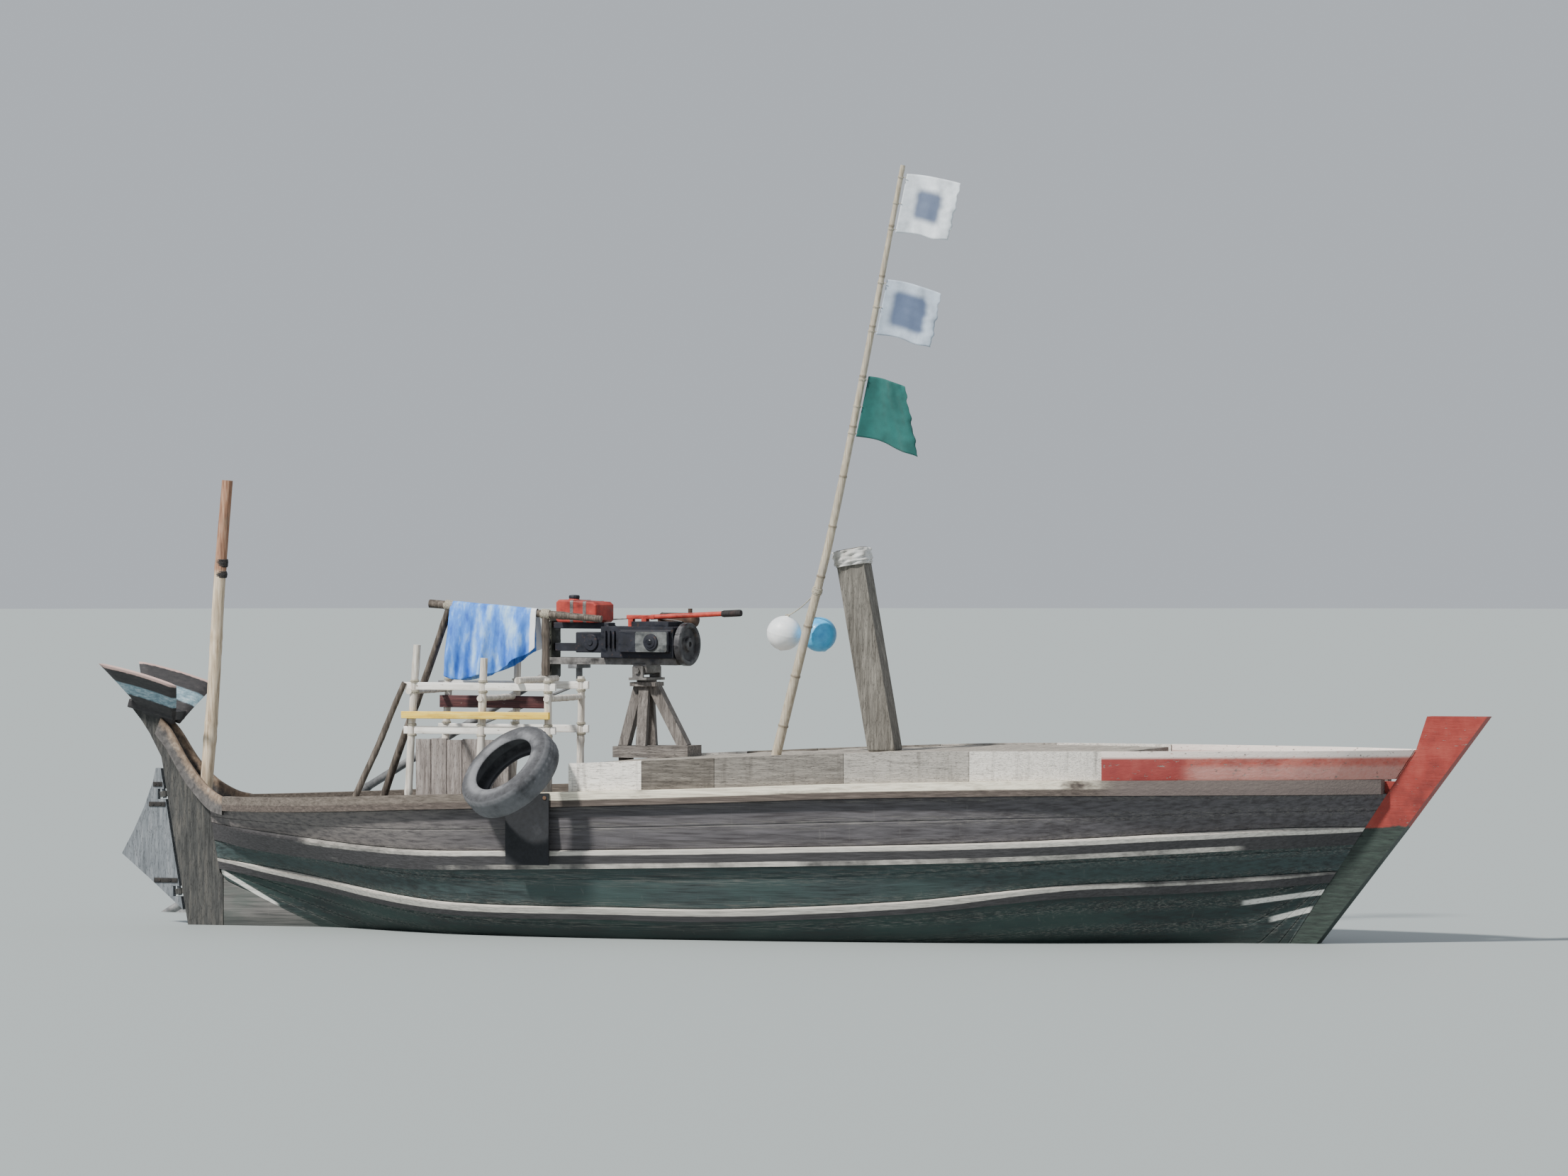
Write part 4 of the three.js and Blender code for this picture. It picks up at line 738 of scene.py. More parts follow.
stem_paint = flaking_red("stem_paint", low_black=0.672, shade=0.62)
keel_wood = tarred_planks("keel_wood", (0.055, 0.055, 0.054), (0.13, 0.125, 0.12), (0.08, 0.10, 0.09))
post_wood = bleached_boards(
    "post_wood", (0.024, 0.025, 0.025), (0.060, 0.061, 0.059), (0.135, 0.125, 0.110), (13, 13, 1.2), (7, 7, 0.7),
)
backbone = (("stem", stem_paint, 0.008), ("keel", keel_wood, 0.008), ("sternpost", post_wood, 0.004))
for node, material, width in backbone:
    eased(node, material, width)


# Upswept stern: two thick curved boards climb from the gunwale to the post's neck. They are sawn to the curve,
# spiked to the post, tarred outside and worn to orange-brown wood on the fore edge.
HORN = np.array([  # x, outer y, upper z, lower x, lower z
    (-3.484, 0.258, 0.774, -3.484, 0.664), (-3.560, 0.192, 0.800, -3.590, 0.690),
    (-3.665, 0.138, 0.872, -3.690, 0.762), (-3.770, 0.105, 0.990, -3.800, 0.880),
    (-3.872, 0.088, 1.150, -3.905, 1.040), (-3.945, 0.084, 1.235, -3.985, 1.140),
])
HORN_THICK = 0.033


def curved_boards(side, count=48):
    """Board between two fair lines: upper and lower edges go smoothly through the table, and the profile runs up
    the outer face, over a rounded top, and down the inner one."""
    rows = np.arange(len(HORN), dtype=float)
    place_at = np.linspace(0, len(HORN) - 1, count)
    x, y, z, low_x, low_z = (fair(rows, column, place_at) for column in HORN.T)
    y_in = np.maximum(y - HORN_THICK, POST_HALF + FIT)
    profile = [
        (0, 0), (0, 0.5), (0, 0.93), (0.12, 0.98), (0.35, 1), (0.65, 1), (0.88, 0.98), (1, 0.93), (1, 0.5), (1, 0),
    ]
    ring = [
        np.stack([low_x + up * (x - low_x), side * (y + inward * (y_in - y)), low_z + up * (z - low_z)], axis=1)
        for inward, up in profile
    ]
    upper = np.array([up for _, up in profile])
    return np.stack(ring, axis=1), upper[None]


def horn_finish(name):
    """Tar outside, worn through to orange-brown wood towards the upper edge."""
    material, tree = shader(name, 0.8)
    grain = noise(tree, (9, 20, 9), 3.0, 7, 0.65, turn=(0, radians(45), 0))
    tar = ramp(tree, grain, [(0.3, (0.045, 0.042, 0.042)), (0.7, (0.15, 0.14, 0.135))])
    wood = ramp(tree, grain, [(0.3, (0.12, 0.085, 0.060)), (0.55, (0.24, 0.175, 0.125)), (0.75, (0.40, 0.34, 0.27))])
    worn = uneven(tree, mark(tree, "upper"), grain, 0.9)
    return coat(material, mixed(tree, band_of(tree, worn, 0.40, 0.85), tar, wood), (grain, 0.5, 0.01))


horn_wood = horn_finish("horn_wood")
for hand, side in HANDS:
    board, upper = curved_boards(side)
    piece = piece_from(f"stern_horn_board_{hand}", [board], marks={"upper": [upper]})
    dress(piece, horn_wood, f"stern_horn_{hand}")


# Crest on the post's head: two thick wings that flare outwards from a seat block, like a fish's tail. Painted
# black with a pale blue stripe along each wing, and a thin reddish-white line along the top edge.
CREST_FOOT = np.array([(-4.080, 0.062, 1.262), (-3.872, 0.062, 1.190)])
CREST_TOP = np.array([(-4.250, 0.330, 1.564), (-3.750, 0.330, 1.432)])
CREST_THICK, CREST_BOW = 0.034, 0.012


def carried(profile, path, up=(0, 0, 1), sizes=None):
    """Profile [n, 2] carried along a path [m, 3]: each point is the path plus the side and upward directions there,
    square to the path, times the profile's two numbers and that row's size."""
    path = np.asarray(path, float)
    ahead = np.gradient(path, axis=0)
    ahead /= np.linalg.norm(ahead, axis=1, keepdims=True)
    across = np.cross(np.broadcast_to(up, ahead.shape), ahead)
    across /= np.linalg.norm(across, axis=1, keepdims=True)
    above = np.cross(ahead, across)
    size = np.ones(len(path)) if sizes is None else np.asarray(sizes, float)
    return path[:, None] + size[:, None, None] * (
        across[:, None] * profile[None, :, :1] + above[:, None] * profile[None, :, 1:]
    )


def round_section(radius, count=16):
    angle = np.arange(count) * 2 * np.pi / count
    return radius * np.stack([np.cos(angle), np.sin(angle)], axis=1)


def crest_wing(side, rows=28, cols=16):
    """Flared plate: t runs from foot to top with y rising as t^1.15 and z as t, and s along the wing. Its upper edge
    is bowed by CREST_BOW times 4 t s (1 - s), and the plate is closed round both faces with a rounded rim."""
    t = np.linspace(0, 1, rows)[:, None]
    s = np.linspace(0, 1, cols)[None]
    foot = CREST_FOOT[0] + s[..., None] * (CREST_FOOT[1] - CREST_FOOT[0])
    top = CREST_TOP[0] + s[..., None] * (CREST_TOP[1] - CREST_TOP[0])
    face = foot + t[..., None] * (top - foot)
    face[..., 1] = foot[..., 1] + t**1.15 * (top[..., 1] - foot[..., 1])
    face[..., 2] += CREST_BOW * 4 * t * s * (1 - s) - CREST_BOW * t
    inner = face + np.array([0, -CREST_THICK, CREST_THICK * 0.5])
    middle = (face + inner) / 2
    rim = np.clip(np.minimum(s, 1 - s) * 14, 0, 1) ** 0.5 * np.clip((1 - t) * 22, 0.25, 1) ** 0.5
    face, inner = middle + rim[..., None] * (face - middle), middle + rim[..., None] * (inner - middle)
    ring = np.concatenate([face, inner[:, ::-1]], axis=1)
    ring[..., 1] *= side
    return ring, np.broadcast_to(t, (rows, 2 * cols))


def crest_finish(name):
    """Black paint, dulled and chipped, with the blue stripe between two heights of the mark "up" and a pale rim."""
    material, tree = shader(name, 0.65)
    chips = noise(tree, (4, 9, 9), 6.0, 7, 0.7)
    tones = [(0.35, (0.012, 0.012, 0.014)), (0.62, (0.032, 0.029, 0.031)), (0.8, (0.12, 0.10, 0.095))]
    black = ramp(tree, chips, tones)
    up = uneven(tree, mark(tree, "up"), chips, 0.05)
    stripe = times(tree, band_of(tree, up, 0.40, 0.44), below(tree, up, 0.66, 0.70))
    blue = ramp(tree, chips, [(0.3, (0.08, 0.14, 0.18)), (0.5, (0.22, 0.35, 0.42)), (0.72, (0.58, 0.67, 0.72))])
    colour = mixed(tree, stripe, black, blue, 0.85)
    colour = mixed(tree, band_of(tree, up, 0.945, 0.965), colour, (0.60, 0.42, 0.38), 0.8)
    return coat(material, colour, (chips, 0.3, 0.004))


wings = [crest_wing(1), crest_wing(-1)]
seat_path = [(-4.148, 0, 1.322), (-4.000, 0, 1.284), (-3.862, 0, 1.245)]
seat = carried(squared(0.100, 0.026, 0.008), seat_path)
crest = piece_from(
    "stern_crest_wings", [wings[0][0], wings[1][0], seat],
    marks={"up": [wings[0][1], wings[1][1], np.zeros((3, 16))]},
)
dress(crest, crest_finish("crest_paint"), "stern_crest")


# Decks. The hold is covered by boards laid across between the washboards, the foredeck by boards along the boat
# with a step board at its edge, and the stern by a few short boards across.
BOARD_PITCH, BOARD_GAP_HALF, DECK_THICK = 0.183, 0.002, 0.026


def deck_half(x):
    return beam(x) - 0.034


hold_x = np.arange(HOLD_AFT + 0.002, HOLD_FORE - 0.035, BOARD_PITCH)
tilt = np.random.default_rng(7).uniform(-0.003, 0.003, len(hold_x))
hold_boards = []
for x, dz, wide in zip(hold_x, tilt, np.minimum(BOARD_PITCH, HOLD_FORE - 0.030 - hold_x)):
    middle = np.array(x + wide / 2)
    half, z = deck_half(middle), wash_top(middle) - DECK_THICK
    line = np.linspace((middle, -half, z + dz), (middle, half, z - dz), 3)
    board = carried(squared(wide / 2 - BOARD_GAP_HALF, DECK_THICK / 2, 0.004), line)
    board[0, :, 1], board[-1, :, 1] = -deck_half(board[0, :, 0]), deck_half(board[-1, :, 0])
    hold_boards.append(board)
deck_wood = bleached_boards(
    "deck_wood", (0.15, 0.135, 0.115), (0.33, 0.30, 0.26), (0.52, 0.48, 0.41), (14, 1.2, 14), (7, 1.0, 7),
)
dress(piece_from("hold_deck_boards", hold_boards), deck_wood, "hold_deck")

LAID_PITCH, FOREDECK_AFT, FOREDECK_FORE = 0.124, HOLD_FORE - 0.028, 3.490
FOREDECK_THICK, FOREDECK_IN, SLIVER = 0.030, 0.046, 0.005


def laid_board(y, seam=0.006, rise=0.0045, round_off=0.0015, count=90):
    """Thin board between two seams, cut to the bulwark's line: its edges run at y ± (pitch - seam) / 2, but
    nowhere beyond the deck's half width there, and it ends where less than 5 mm of it is left."""
    x = np.linspace(FOREDECK_AFT + 0.001, FOREDECK_FORE - 0.002, count)
    half = raked_beam(x, rail_top(x) + FOREDECK_THICK) - FOREDECK_IN
    x, half = (values[half > abs(y) - (LAID_PITCH - seam) / 2 + SLIVER] for values in (x, half))
    near, far = (np.clip(y + side * (LAID_PITCH - seam) / 2, -half, half) for side in (-1, 1))
    low, high = rail_top(x) + FOREDECK_THICK, rail_top(x) + FOREDECK_THICK + rise
    corners = (
        (near, low), (near, high - round_off), (near + round_off, high),
        (far - round_off, high), (far, high - round_off), (far, low),
    )
    return np.stack([np.stack([x, across, height], axis=-1) for across, height in corners], axis=1)


foredeck_wood = bleached_boards(
    "foredeck_wood", (0.13, 0.12, 0.105), (0.28, 0.26, 0.23), (0.44, 0.41, 0.37), (1.2, 15, 15), (2, 8, 8),
    crossed=("X", HOLD_FORE - 0.030, HOLD_FORE - 0.003, (15, 1.2, 15)),
)
finished("foredeck", foredeck_wood)
covering = piece_from("foredeck_laid_boards", [laid_board(y) for y in np.arange(-5, 6) * LAID_PITCH])
dress(covering, foredeck_wood)
eased("stern_deck", deck_wood, 0.003)


# Open cockpit aft of the hold: ribs with floors on a keelson, sole boards on battens, thwarts across, and the
# hold's bulkhead. All bare sawn wood, oiled dark low down and dry grey on top.
rib_wood = bleached_boards(
    "rib_wood", (0.085, 0.068, 0.055), (0.19, 0.155, 0.13), (0.32, 0.27, 0.23), (6, 6, 2.0), (5, 5, 0.6),
)
thwart_wood = bleached_boards(
    "thwart_wood", (0.14, 0.12, 0.10), (0.31, 0.27, 0.23), (0.50, 0.45, 0.38), (16, 1.2, 16), (6, 2, 6),
)
sole_wood = bleached_boards(
    "sole_wood", (0.10, 0.085, 0.07), (0.23, 0.20, 0.165), (0.38, 0.33, 0.28), (1.2, 16, 16), (2, 6, 6),
)
for node, material, width in (
    ("cockpit_frames", rib_wood, 0.004), ("sole_boards", sole_wood, 0.003), ("hold_bulkhead", rib_wood, 0.003),
    ("thwart_aft", thwart_wood, 0.004), ("thwart_rack", thwart_wood, 0.004), ("thwart_middle", thwart_wood, 0.004),
    ("thwart_engine", thwart_wood, 0.004),
):
    eased(node, material, width)


# Stern pole, stepped between the two stern boards: a peeled round pole for hanging nets, pale below, orange-
# brown above, with two black wrappings, a knob at a knot, and a sawn head.
POLE_FOOT, POLE_HEAD = np.array((-3.690, 0.0, 0.800)), np.array((-3.550, 0.0, 2.650))


def peeled_pole(foot, head, radius_foot, radius_head, seed, rows=70, wander=0.006, knots=4, sides=18):
    """Round pole: the axis wanders by two slow sines, the radius tapers evenly, swells by short bell curves at the
    knots, and its skin is a little out of round."""
    random = np.random.default_rng(seed)
    foot, head = np.array(foot, float), np.array(head, float)
    t = np.linspace(0, 1, rows)
    axis = foot + t[:, None] * (head - foot)
    phase = random.uniform(0, 2 * np.pi, 4)
    axis[:, 0] += wander * np.sin(np.pi * t) * np.sin(5 * t + phase[0])
    axis[:, 1] += wander * np.sin(np.pi * t) * np.sin(4 * t + phase[1])
    radius = radius_foot + t * (radius_head - radius_foot)
    length = np.linalg.norm(head - foot)
    for knot in random.uniform(0.08, 0.95, knots):
        radius = radius * (1 + 0.09 * np.exp(-(((t - knot) * length) / 0.018) ** 2))
    angle = np.arange(sides) * 2 * np.pi / sides
    along = t[:, None]
    oval = 1 + 0.035 * np.sin(2 * angle + 3 * along + phase[2]) + 0.02 * np.sin(3 * angle - 7 * along)
    grid = carried(round_section(1, sides), axis, up=(0.1, 1, 0.05), sizes=radius)
    return axis[:, None] + (grid - axis[:, None]) * oval[..., None]


def pole_finish(name, dark, middle, pale, change=None):
    """Peeled wood along the pole; "change" is (height, colour tones) from which the upper part takes other tones."""
    material, tree = shader(name, 0.78)
    grain = noise(tree, (26, 26, 2.0), 3.0, 6, 0.6)
    colour = ramp(tree, grain, [(0.3, dark), (0.5, middle), (0.7, pale)])
    if change is not None:
        height, upper_tones = change
        upper = ramp(tree, grain, list(zip((0.3, 0.5, 0.7), upper_tones)))
        colour = mixed(tree, band_of(tree, place(tree, "Z"), height - 0.03, height + 0.03), colour, upper)
    patch = patches(tree, 0.55, 0.72, (5, 5, 1.4), 2.4, 5)
    colour = mixed(tree, patch, colour, toned(middle, 0.55), 0.45)
    return coat(material, colour, (grain, 0.45, 0.006))


pole_wood = pole_finish(
    "stern_pole_wood", (0.28, 0.20, 0.13), (0.62, 0.50, 0.355), (0.82, 0.71, 0.56),
    change=(2.10, ((0.13, 0.065, 0.04), (0.34, 0.175, 0.105), (0.52, 0.33, 0.22))),
)
stern_pole = piece_from("stern_pole_peeled", [peeled_pole(POLE_FOOT, POLE_HEAD, 0.039, 0.032, 3, knots=6)])
dress(stern_pole, pole_wood, "stern_pole")


def round_about(axis, reference, angle):
    """Unit directions square to an axis, one for each angle, the first of them square to the reference too."""
    side = np.cross(axis, reference)
    side /= np.linalg.norm(side)
    other = np.cross(axis, side)
    return np.cos(angle)[:, None] * side + np.sin(angle)[:, None] * other


def wound(start, end, radius, thread):
    """Twine wound round a pole from start to end: a helix of that radius with turns one thread apart, carried as a
    round section, its ends tucked inwards."""
    start, end = np.array(start, float), np.array(end, float)
    length = np.linalg.norm(end - start)
    turns = max(length / (2.05 * thread), 1.5)
    t = np.linspace(0, 1, int(turns * 14) + 2)
    ahead = (end - start) / length
    out = radius - thread * 1.2 * np.exp(-np.minimum(t, 1 - t) * length / thread)
    ring = round_about(ahead, (0.13, 1, 0.07), 2 * np.pi * turns * t + 1)
    return carried(round_section(thread, 6), start + t[:, None] * (end - start) + out[:, None] * ring, up=ahead)


def twine_finish(name, dark, pale):
    material, tree = shader(name, 0.9)
    strands = noise(tree, (60, 60, 60), 3.0, 4)
    return coat(material, ramp(tree, strands, [(0.35, dark), (0.65, pale)]), (strands, 0.5, 0.002))


def pole_at(z):
    return POLE_FOOT + (POLE_HEAD - POLE_FOOT) / (POLE_HEAD[2] - POLE_FOOT[2]) * (z - POLE_FOOT[2])


black_twine = twine_finish("black_twine", (0.016, 0.016, 0.018), (0.06, 0.058, 0.056))
bands = [wound(pole_at(low), pole_at(high), 0.037, 0.004) for low, high in ((2.072, 2.108), (2.135, 2.182))]
dress(piece_from("stern_pole_bindings", bands), black_twine)


# Awning rack: two frames of peeled posts standing on the thwarts, with sawn rails nailed to them and cross poles
# at the heads, all tied with twine. The starboard rails are painted, two white and one yellow between.
RACK_NEAR, RACK_FAR, THWART_TOP = -0.725, -0.150, 0.620
RACK_POSTS = ((-2.140, -2.070, 1.690), (-1.700, -1.655, 1.615), (-1.262, -1.262, 1.500))  # foot x, head x, head z
RAIL_UPPER, RAIL_YELLOW, RAIL_LOWER = 1.449, 1.283, 1.195
RAIL_AFT_END, RAIL_FORE_END, RAIL_MIDDLE = -2.150, -1.215, -1.680
CROSS_POLES = ((-2.112, 1.420), (-1.672, 1.380), (-1.262, 1.380))  # x, z


def painted_wood(name, deep, colour, light):
    """House paint brushed on wood: faint brush lines, grey grime, and flakes down to the wood."""
    material, tree = shader(name, 0.55)
    brush = noise(tree, (1.2, 26, 26), 4.0, 6)
    paint = ramp(tree, brush, [(0.3, deep), (0.5, colour), (0.7, light)])
    grime = patches(tree, 0.48, 0.75, (2, 5, 5), 3.0, 6, 0.65)
    paint = mixed(tree, grime, paint, toned(deep, 0.45), 0.5)
    flakes = patches(tree, 0.63, 0.67, (5, 14, 14), 4.0, 8, 0.7)
    colour = mixed(tree, flakes, paint, (0.30, 0.25, 0.20))
    return coat(material, colour, (brush, 0.25, 0.004), (calc(tree, "SUBTRACT", 1, flakes), 0.5, 0.002))


rack_posts_wood = pole_finish("rack_post_wood", (0.34, 0.30, 0.25), (0.66, 0.61, 0.54), (0.86, 0.83, 0.77))
dark_pole_wood = pole_finish("dark_pole_wood", (0.032, 0.026, 0.021), (0.095, 0.077, 0.062), (0.21, 0.175, 0.145))
white_rail_paint = painted_wood("white_rail_paint", (0.66, 0.62, 0.56), (0.88, 0.86, 0.81), (0.93, 0.92, 0.89))
yellow_rail_paint = painted_wood("yellow_rail_paint", (0.76, 0.43, 0.04), (0.95, 0.64, 0.08), (0.98, 0.80, 0.24))
posts = [
    peeled_pole((foot, y, THWART_TOP), (head, y, top), 0.023, 0.021, 11 + 3 * i + k, rows=50, wander=0.004, sides=14)
    for k, y in enumerate((RACK_NEAR, RACK_FAR)) for i, (foot, head, top) in enumerate(RACK_POSTS)
]


def across_rack(x, z, past, radius_near, radius_far, seed):
    """Pole across the rack at x and z, standing past both rows of posts."""
    near, far = (x, RACK_NEAR - past, z), (x, RACK_FAR + past, z)
    return peeled_pole(near, far, radius_near, radius_far, seed, rows=30, wander=0.002, sides=12)


cross_poles = [across_rack(x, z, 0.030, 0.018, 0.017, 31 + i) for i, (x, z) in enumerate(CROSS_POLES)]
CARRIER_X, CARRIER_Z = -1.432, 1.486
carrier = across_rack(CARRIER_X, CARRIER_Z, 0.050, 0.020, 0.019, 39)
rack = piece_from("rack_posts", [*posts, *cross_poles, carrier])
RACK_RAILS = (  # y, z, and how much higher the aft end is
    (RACK_NEAR, RAIL_UPPER, 0.002), (RACK_NEAR, RAIL_LOWER, -0.001),
    (RACK_FAR, RAIL_UPPER, 0.0), (RACK_FAR, RAIL_LOWER, 0.002),
)
rail_section = squared(0.013, 0.022, 0.003)
rails = piece_from("rack_rails", [
    carried(rail_section, [(RAIL_AFT_END, y, z + dz), (RAIL_MIDDLE, y, z), (RAIL_FORE_END, y, z - dz)])
    for y, z, dz in RACK_RAILS
])
brace = piece_from("rack_brace", [
    peeled_pole((-2.440, -0.768, 0.802), (-2.144, RACK_NEAR - 0.012, 1.470), 0.019, 0.017, 41, rows=40, sides=12),
])
for piece, material in ((rack, rack_posts_wood), (rails, white_rail_paint), (brace, dark_pole_wood)):
    dress(piece, material, "rack_frame")
# Dark red board across the far frame, behind the gap between the upper and yellow rails. It is partly a board and
# partly painted shade: its very dark tone stands in for the shade inside the rack.
far_board = piece_from("rack_far_board_and_shade", [carried(
    squared(0.009, 0.036, 0.003), [(-2.130, RACK_FAR - 0.032, 1.350), (-1.470, RACK_FAR - 0.032, 1.346)]
)])
dark_red_paint_and_shade = painted_wood("dark_red_paint_and_shade", (0.030, 0.008, 0.010), (0.075, 0.020, 0.022), (0.16, 0.055, 0.05))
dress(far_board, dark_red_paint_and_shade)
YELLOW_Y = RACK_NEAR - 0.041
yellow_rail = piece_from("rack_rail_yellow_board", [carried(
    squared(0.014, 0.021, 0.003), [(RAIL_AFT_END, YELLOW_Y, RAIL_YELLOW), (-1.240, YELLOW_Y, RAIL_YELLOW)]
)])
dress(yellow_rail, yellow_rail_paint, "rack_rail_yellow")

cream_twine = twine_finish("cream_twine", (0.30, 0.27, 0.21), (0.58, 0.54, 0.44))
lashings = []
for y in (RACK_NEAR, RACK_FAR):
    for foot, head, top in RACK_POSTS:
        for z in (RAIL_UPPER, RAIL_LOWER):
            x = foot + (head - foot) * (z - THWART_TOP) / (top - THWART_TOP)
            for rise in (-0.030, 0.030):
                lashings.append(wound((x, y, z + rise - 0.007), (x, y, z + rise + 0.007), 0.0265, 0.0028))
dress(piece_from("rack_lashings", lashings), cream_twine)

panel_wood = bleached_boards(
    "panel_wood", (0.15, 0.130, 0.120), (0.32, 0.285, 0.265), (0.50, 0.46, 0.435), (14, 14, 1.2), (6, 6, 0.8),
)
PANEL_Y, PANEL_TOP = RACK_FAR - 0.044, 1.130
panel_section = squared(0.0470, 0.017, 0.003)
panel_boards = [
    carried(panel_section, [(x, PANEL_Y, THWART_TOP + FIT), (x, PANEL_Y, PANEL_TOP - d)], up=(0, 1, 0))
    for x, d in zip(np.linspace(-2.2262, -1.7388, 6), (0.004, 0.0, 0.008, 0.002, 0.006, 0.009))
]
dress(piece_from("rack_panel_boards", panel_boards), panel_wood, "rack_panel")


# Ridge pole over the rack, on a leaning crutch aft and a short post forward: rough dark poles, tied where they
# cross.
RIDGE_Y = -0.290
RIDGE_AFT, RIDGE_FORE = np.array((-2.156, RIDGE_Y, 1.925)), np.array((-1.086, RIDGE_Y, 1.838))
ridge = piece_from("ridge_poles", [
    peeled_pole(RIDGE_AFT, RIDGE_FORE, 0.024, 0.021, 51, rows=60, wander=0.003),
    peeled_pole((-2.590, -0.060, THWART_TOP), (-2.030, RIDGE_Y, 1.905), 0.024, 0.021, 52, rows=60, wander=0.004),
    peeled_pole(
        (CARRIER_X, RIDGE_Y, CARRIER_Z + 0.0205), (CARRIER_X, RIDGE_Y, 1.868), 0.024, 0.022, 53,
        rows=30, wander=0.002,
    ),
])
dress(ridge, dark_pole_wood, "ridge_pole")
ridge_ties = piece_from("ridge_ties", [
    wound((-2.058, RIDGE_Y, 1.917), (-2.006, RIDGE_Y, 1.913), 0.028, 0.004),
    wound((-1.458, RIDGE_Y, 1.8682), (-1.406, RIDGE_Y, 1.8640), 0.027, 0.004),
])
dress(ridge_ties, cream_twine)


# Blue cloth with a white end, thrown over the ridge pole: a light woven tarpaulin, 0.54 m along the pole and 0.9 m
# over it. Its folds start at the pole and widen below, and its lower edge climbs towards the bow.
CLOTH_HANG = np.array([(-2.016, 0.400), (-1.866, 0.430), (-1.726, 0.400), (-1.606, 0.290), (-1.481, 0.210)])
CLOTH_AFT, CLOTH_FORE = CLOTH_HANG[0, 0], CLOTH_HANG[-1, 0]
OVER_POLE = 0.027


def thrown_over(rows=90, cols=120):
    """Sheet over a pole: across it s runs -1 to 1, first round the pole as a half circle, then down each side by the
    hang at that x. Folds are a sum of three sines along x whose depth grows with the way down, and each fold
    leans a little aft; the hem waves by a slow sine, and slanted creases wander over the folds."""
    u = np.linspace(0, 1, rows)[:, None]
    s = np.linspace(-1, 1, cols)[None]
    x = CLOTH_AFT + u * (CLOTH_FORE - CLOTH_AFT)
    hang = fair(*CLOTH_HANG.T, x) * (1 + 0.05 * np.sin(17 * x + 3 * s))
    pole_z = RIDGE_AFT[2] + (x - RIDGE_AFT[0]) / (RIDGE_FORE[0] - RIDGE_AFT[0]) * (RIDGE_FORE[2] - RIDGE_AFT[2])
    quarter = OVER_POLE * np.pi / 2
    way = np.abs(s) * (hang + quarter)
    turn = np.clip(way / quarter, 0, 1) * np.pi / 2
    hung = np.maximum(way - quarter, 0)
    depth, hand = hung / 0.4, np.sign(s)
    fold = 0.030 * np.sin(34 * x + 1.1 * hand) + 0.016 * np.sin(63 * x + 0.9) + 0.008 * np.sin(118 * x + 2.0 * hand)
    out = OVER_POLE * np.sin(turn) + 0.085 * depth**0.8 * (1 - 0.35 * depth) + fold * np.clip(depth, 0, 1)
    drop = OVER_POLE * np.cos(turn) - 0.965 * hung
    sway = 0.020 * depth * np.sin(5 * x + 2) - 0.012 * depth
    crumple = 0.005 * np.sin(29 * x - 6 * s + 2 * np.sin(6 * x + 4 * s)) * np.clip(depth * 3, 0.15, 1)
    return np.stack([x + sway, RIDGE_Y + hand * (out + crumple), pole_z + 0.001 + drop + crumple], axis=-1)


def woven_sheet(name, deep, colour, light, white_from=None, sheen=0.2):
    """Woven cloth: two crossed fine waves on its own UV for the weave, faded streaks and creases down it; forward
    of the X "white_from" it is white."""
    material, tree = shader(name, 0.8, Sheen_Weight=sheen)
    coords = tree.nodes.new("ShaderNodeTexCoord")
    fade = noise(tree, (2.0, 1, 0.6), 8.0, 5)
    tone = ramp(tree, fade, [(0.34, deep), (0.50, colour), (0.70, light)])
    if white_from is not None:
        edge = calc(tree, "ADD", place(tree, "X"), times(tree, fade, 0.03))
        tone = mixed(tree, band_of(tree, edge, white_from, white_from + 0.008), tone, (0.86, 0.88, 0.90))
    waves = []
    for direction in ("X", "Y"):
        wave = tree.nodes.new("ShaderNodeTexWave")
        wave.bands_direction = direction
        wave.inputs["Scale"].default_value = 130
        wave.inputs["Distortion"].default_value = 0.4
        tree.links.new(coords.outputs["UV"], wave.inputs["Vector"])
        waves.append(wave.outputs["Fac"])
    weave = calc(tree, "MAXIMUM", *waves)
    colour = mixed(tree, weave, tone, deep, 0.12)
    return coat(
        material, colour, (weave, 0.25, 0.001), (noise(tree, (1, 1, 1), 20.0, 4, 0.55), 0.2, 0.004),
        (noise(tree, (2.6, 1, 0.5), 7.0, 4, 0.55), 0.5, 0.014),
    )


def cloth_piece(name, surface, material, node, slot_name, thick, marks=None, **told):
    """A sheet: the surface as one open mesh with a Solidify wall; its flat size and the rest of "told" are not used.
    """
    piece = piece_from(name, [surface], around=False, smooth=180, marks=marks)
    wall = piece.modifiers.new("cloth_thickness", "SOLIDIFY")
    wall.thickness, wall.offset = thick, 0
    dress(piece, material, node)


def surface_area(surface):
    """Area of a grid: half the length of the cross product of each quad's two diagonals."""
    d1, d2 = surface[1:, 1:] - surface[:-1, :-1], surface[1:, :-1] - surface[:-1, 1:]
    return float(np.linalg.norm(np.cross(d1, d2), axis=-1).sum() / 2)


awning = thrown_over()
awning_area, AWNING_WIDTH = surface_area(awning), 0.56
awning_blue = woven_sheet(
    "awning_blue", (0.028, 0.125, 0.54), (0.085, 0.30, 0.88), (0.50, 0.78, 1.0), white_from=-1.503, sheen=0.0,
)
cloth_piece(
    "awning_cloth_sheet", awning, awning_blue, "awning_cloth", "blue_cloth", 0.002, held="draped",
    flat=(AWNING_WIDTH, round(awning_area / AWNING_WIDTH, 3)), area=round(awning_area, 4), rests_on=["ridge_poles"],
)


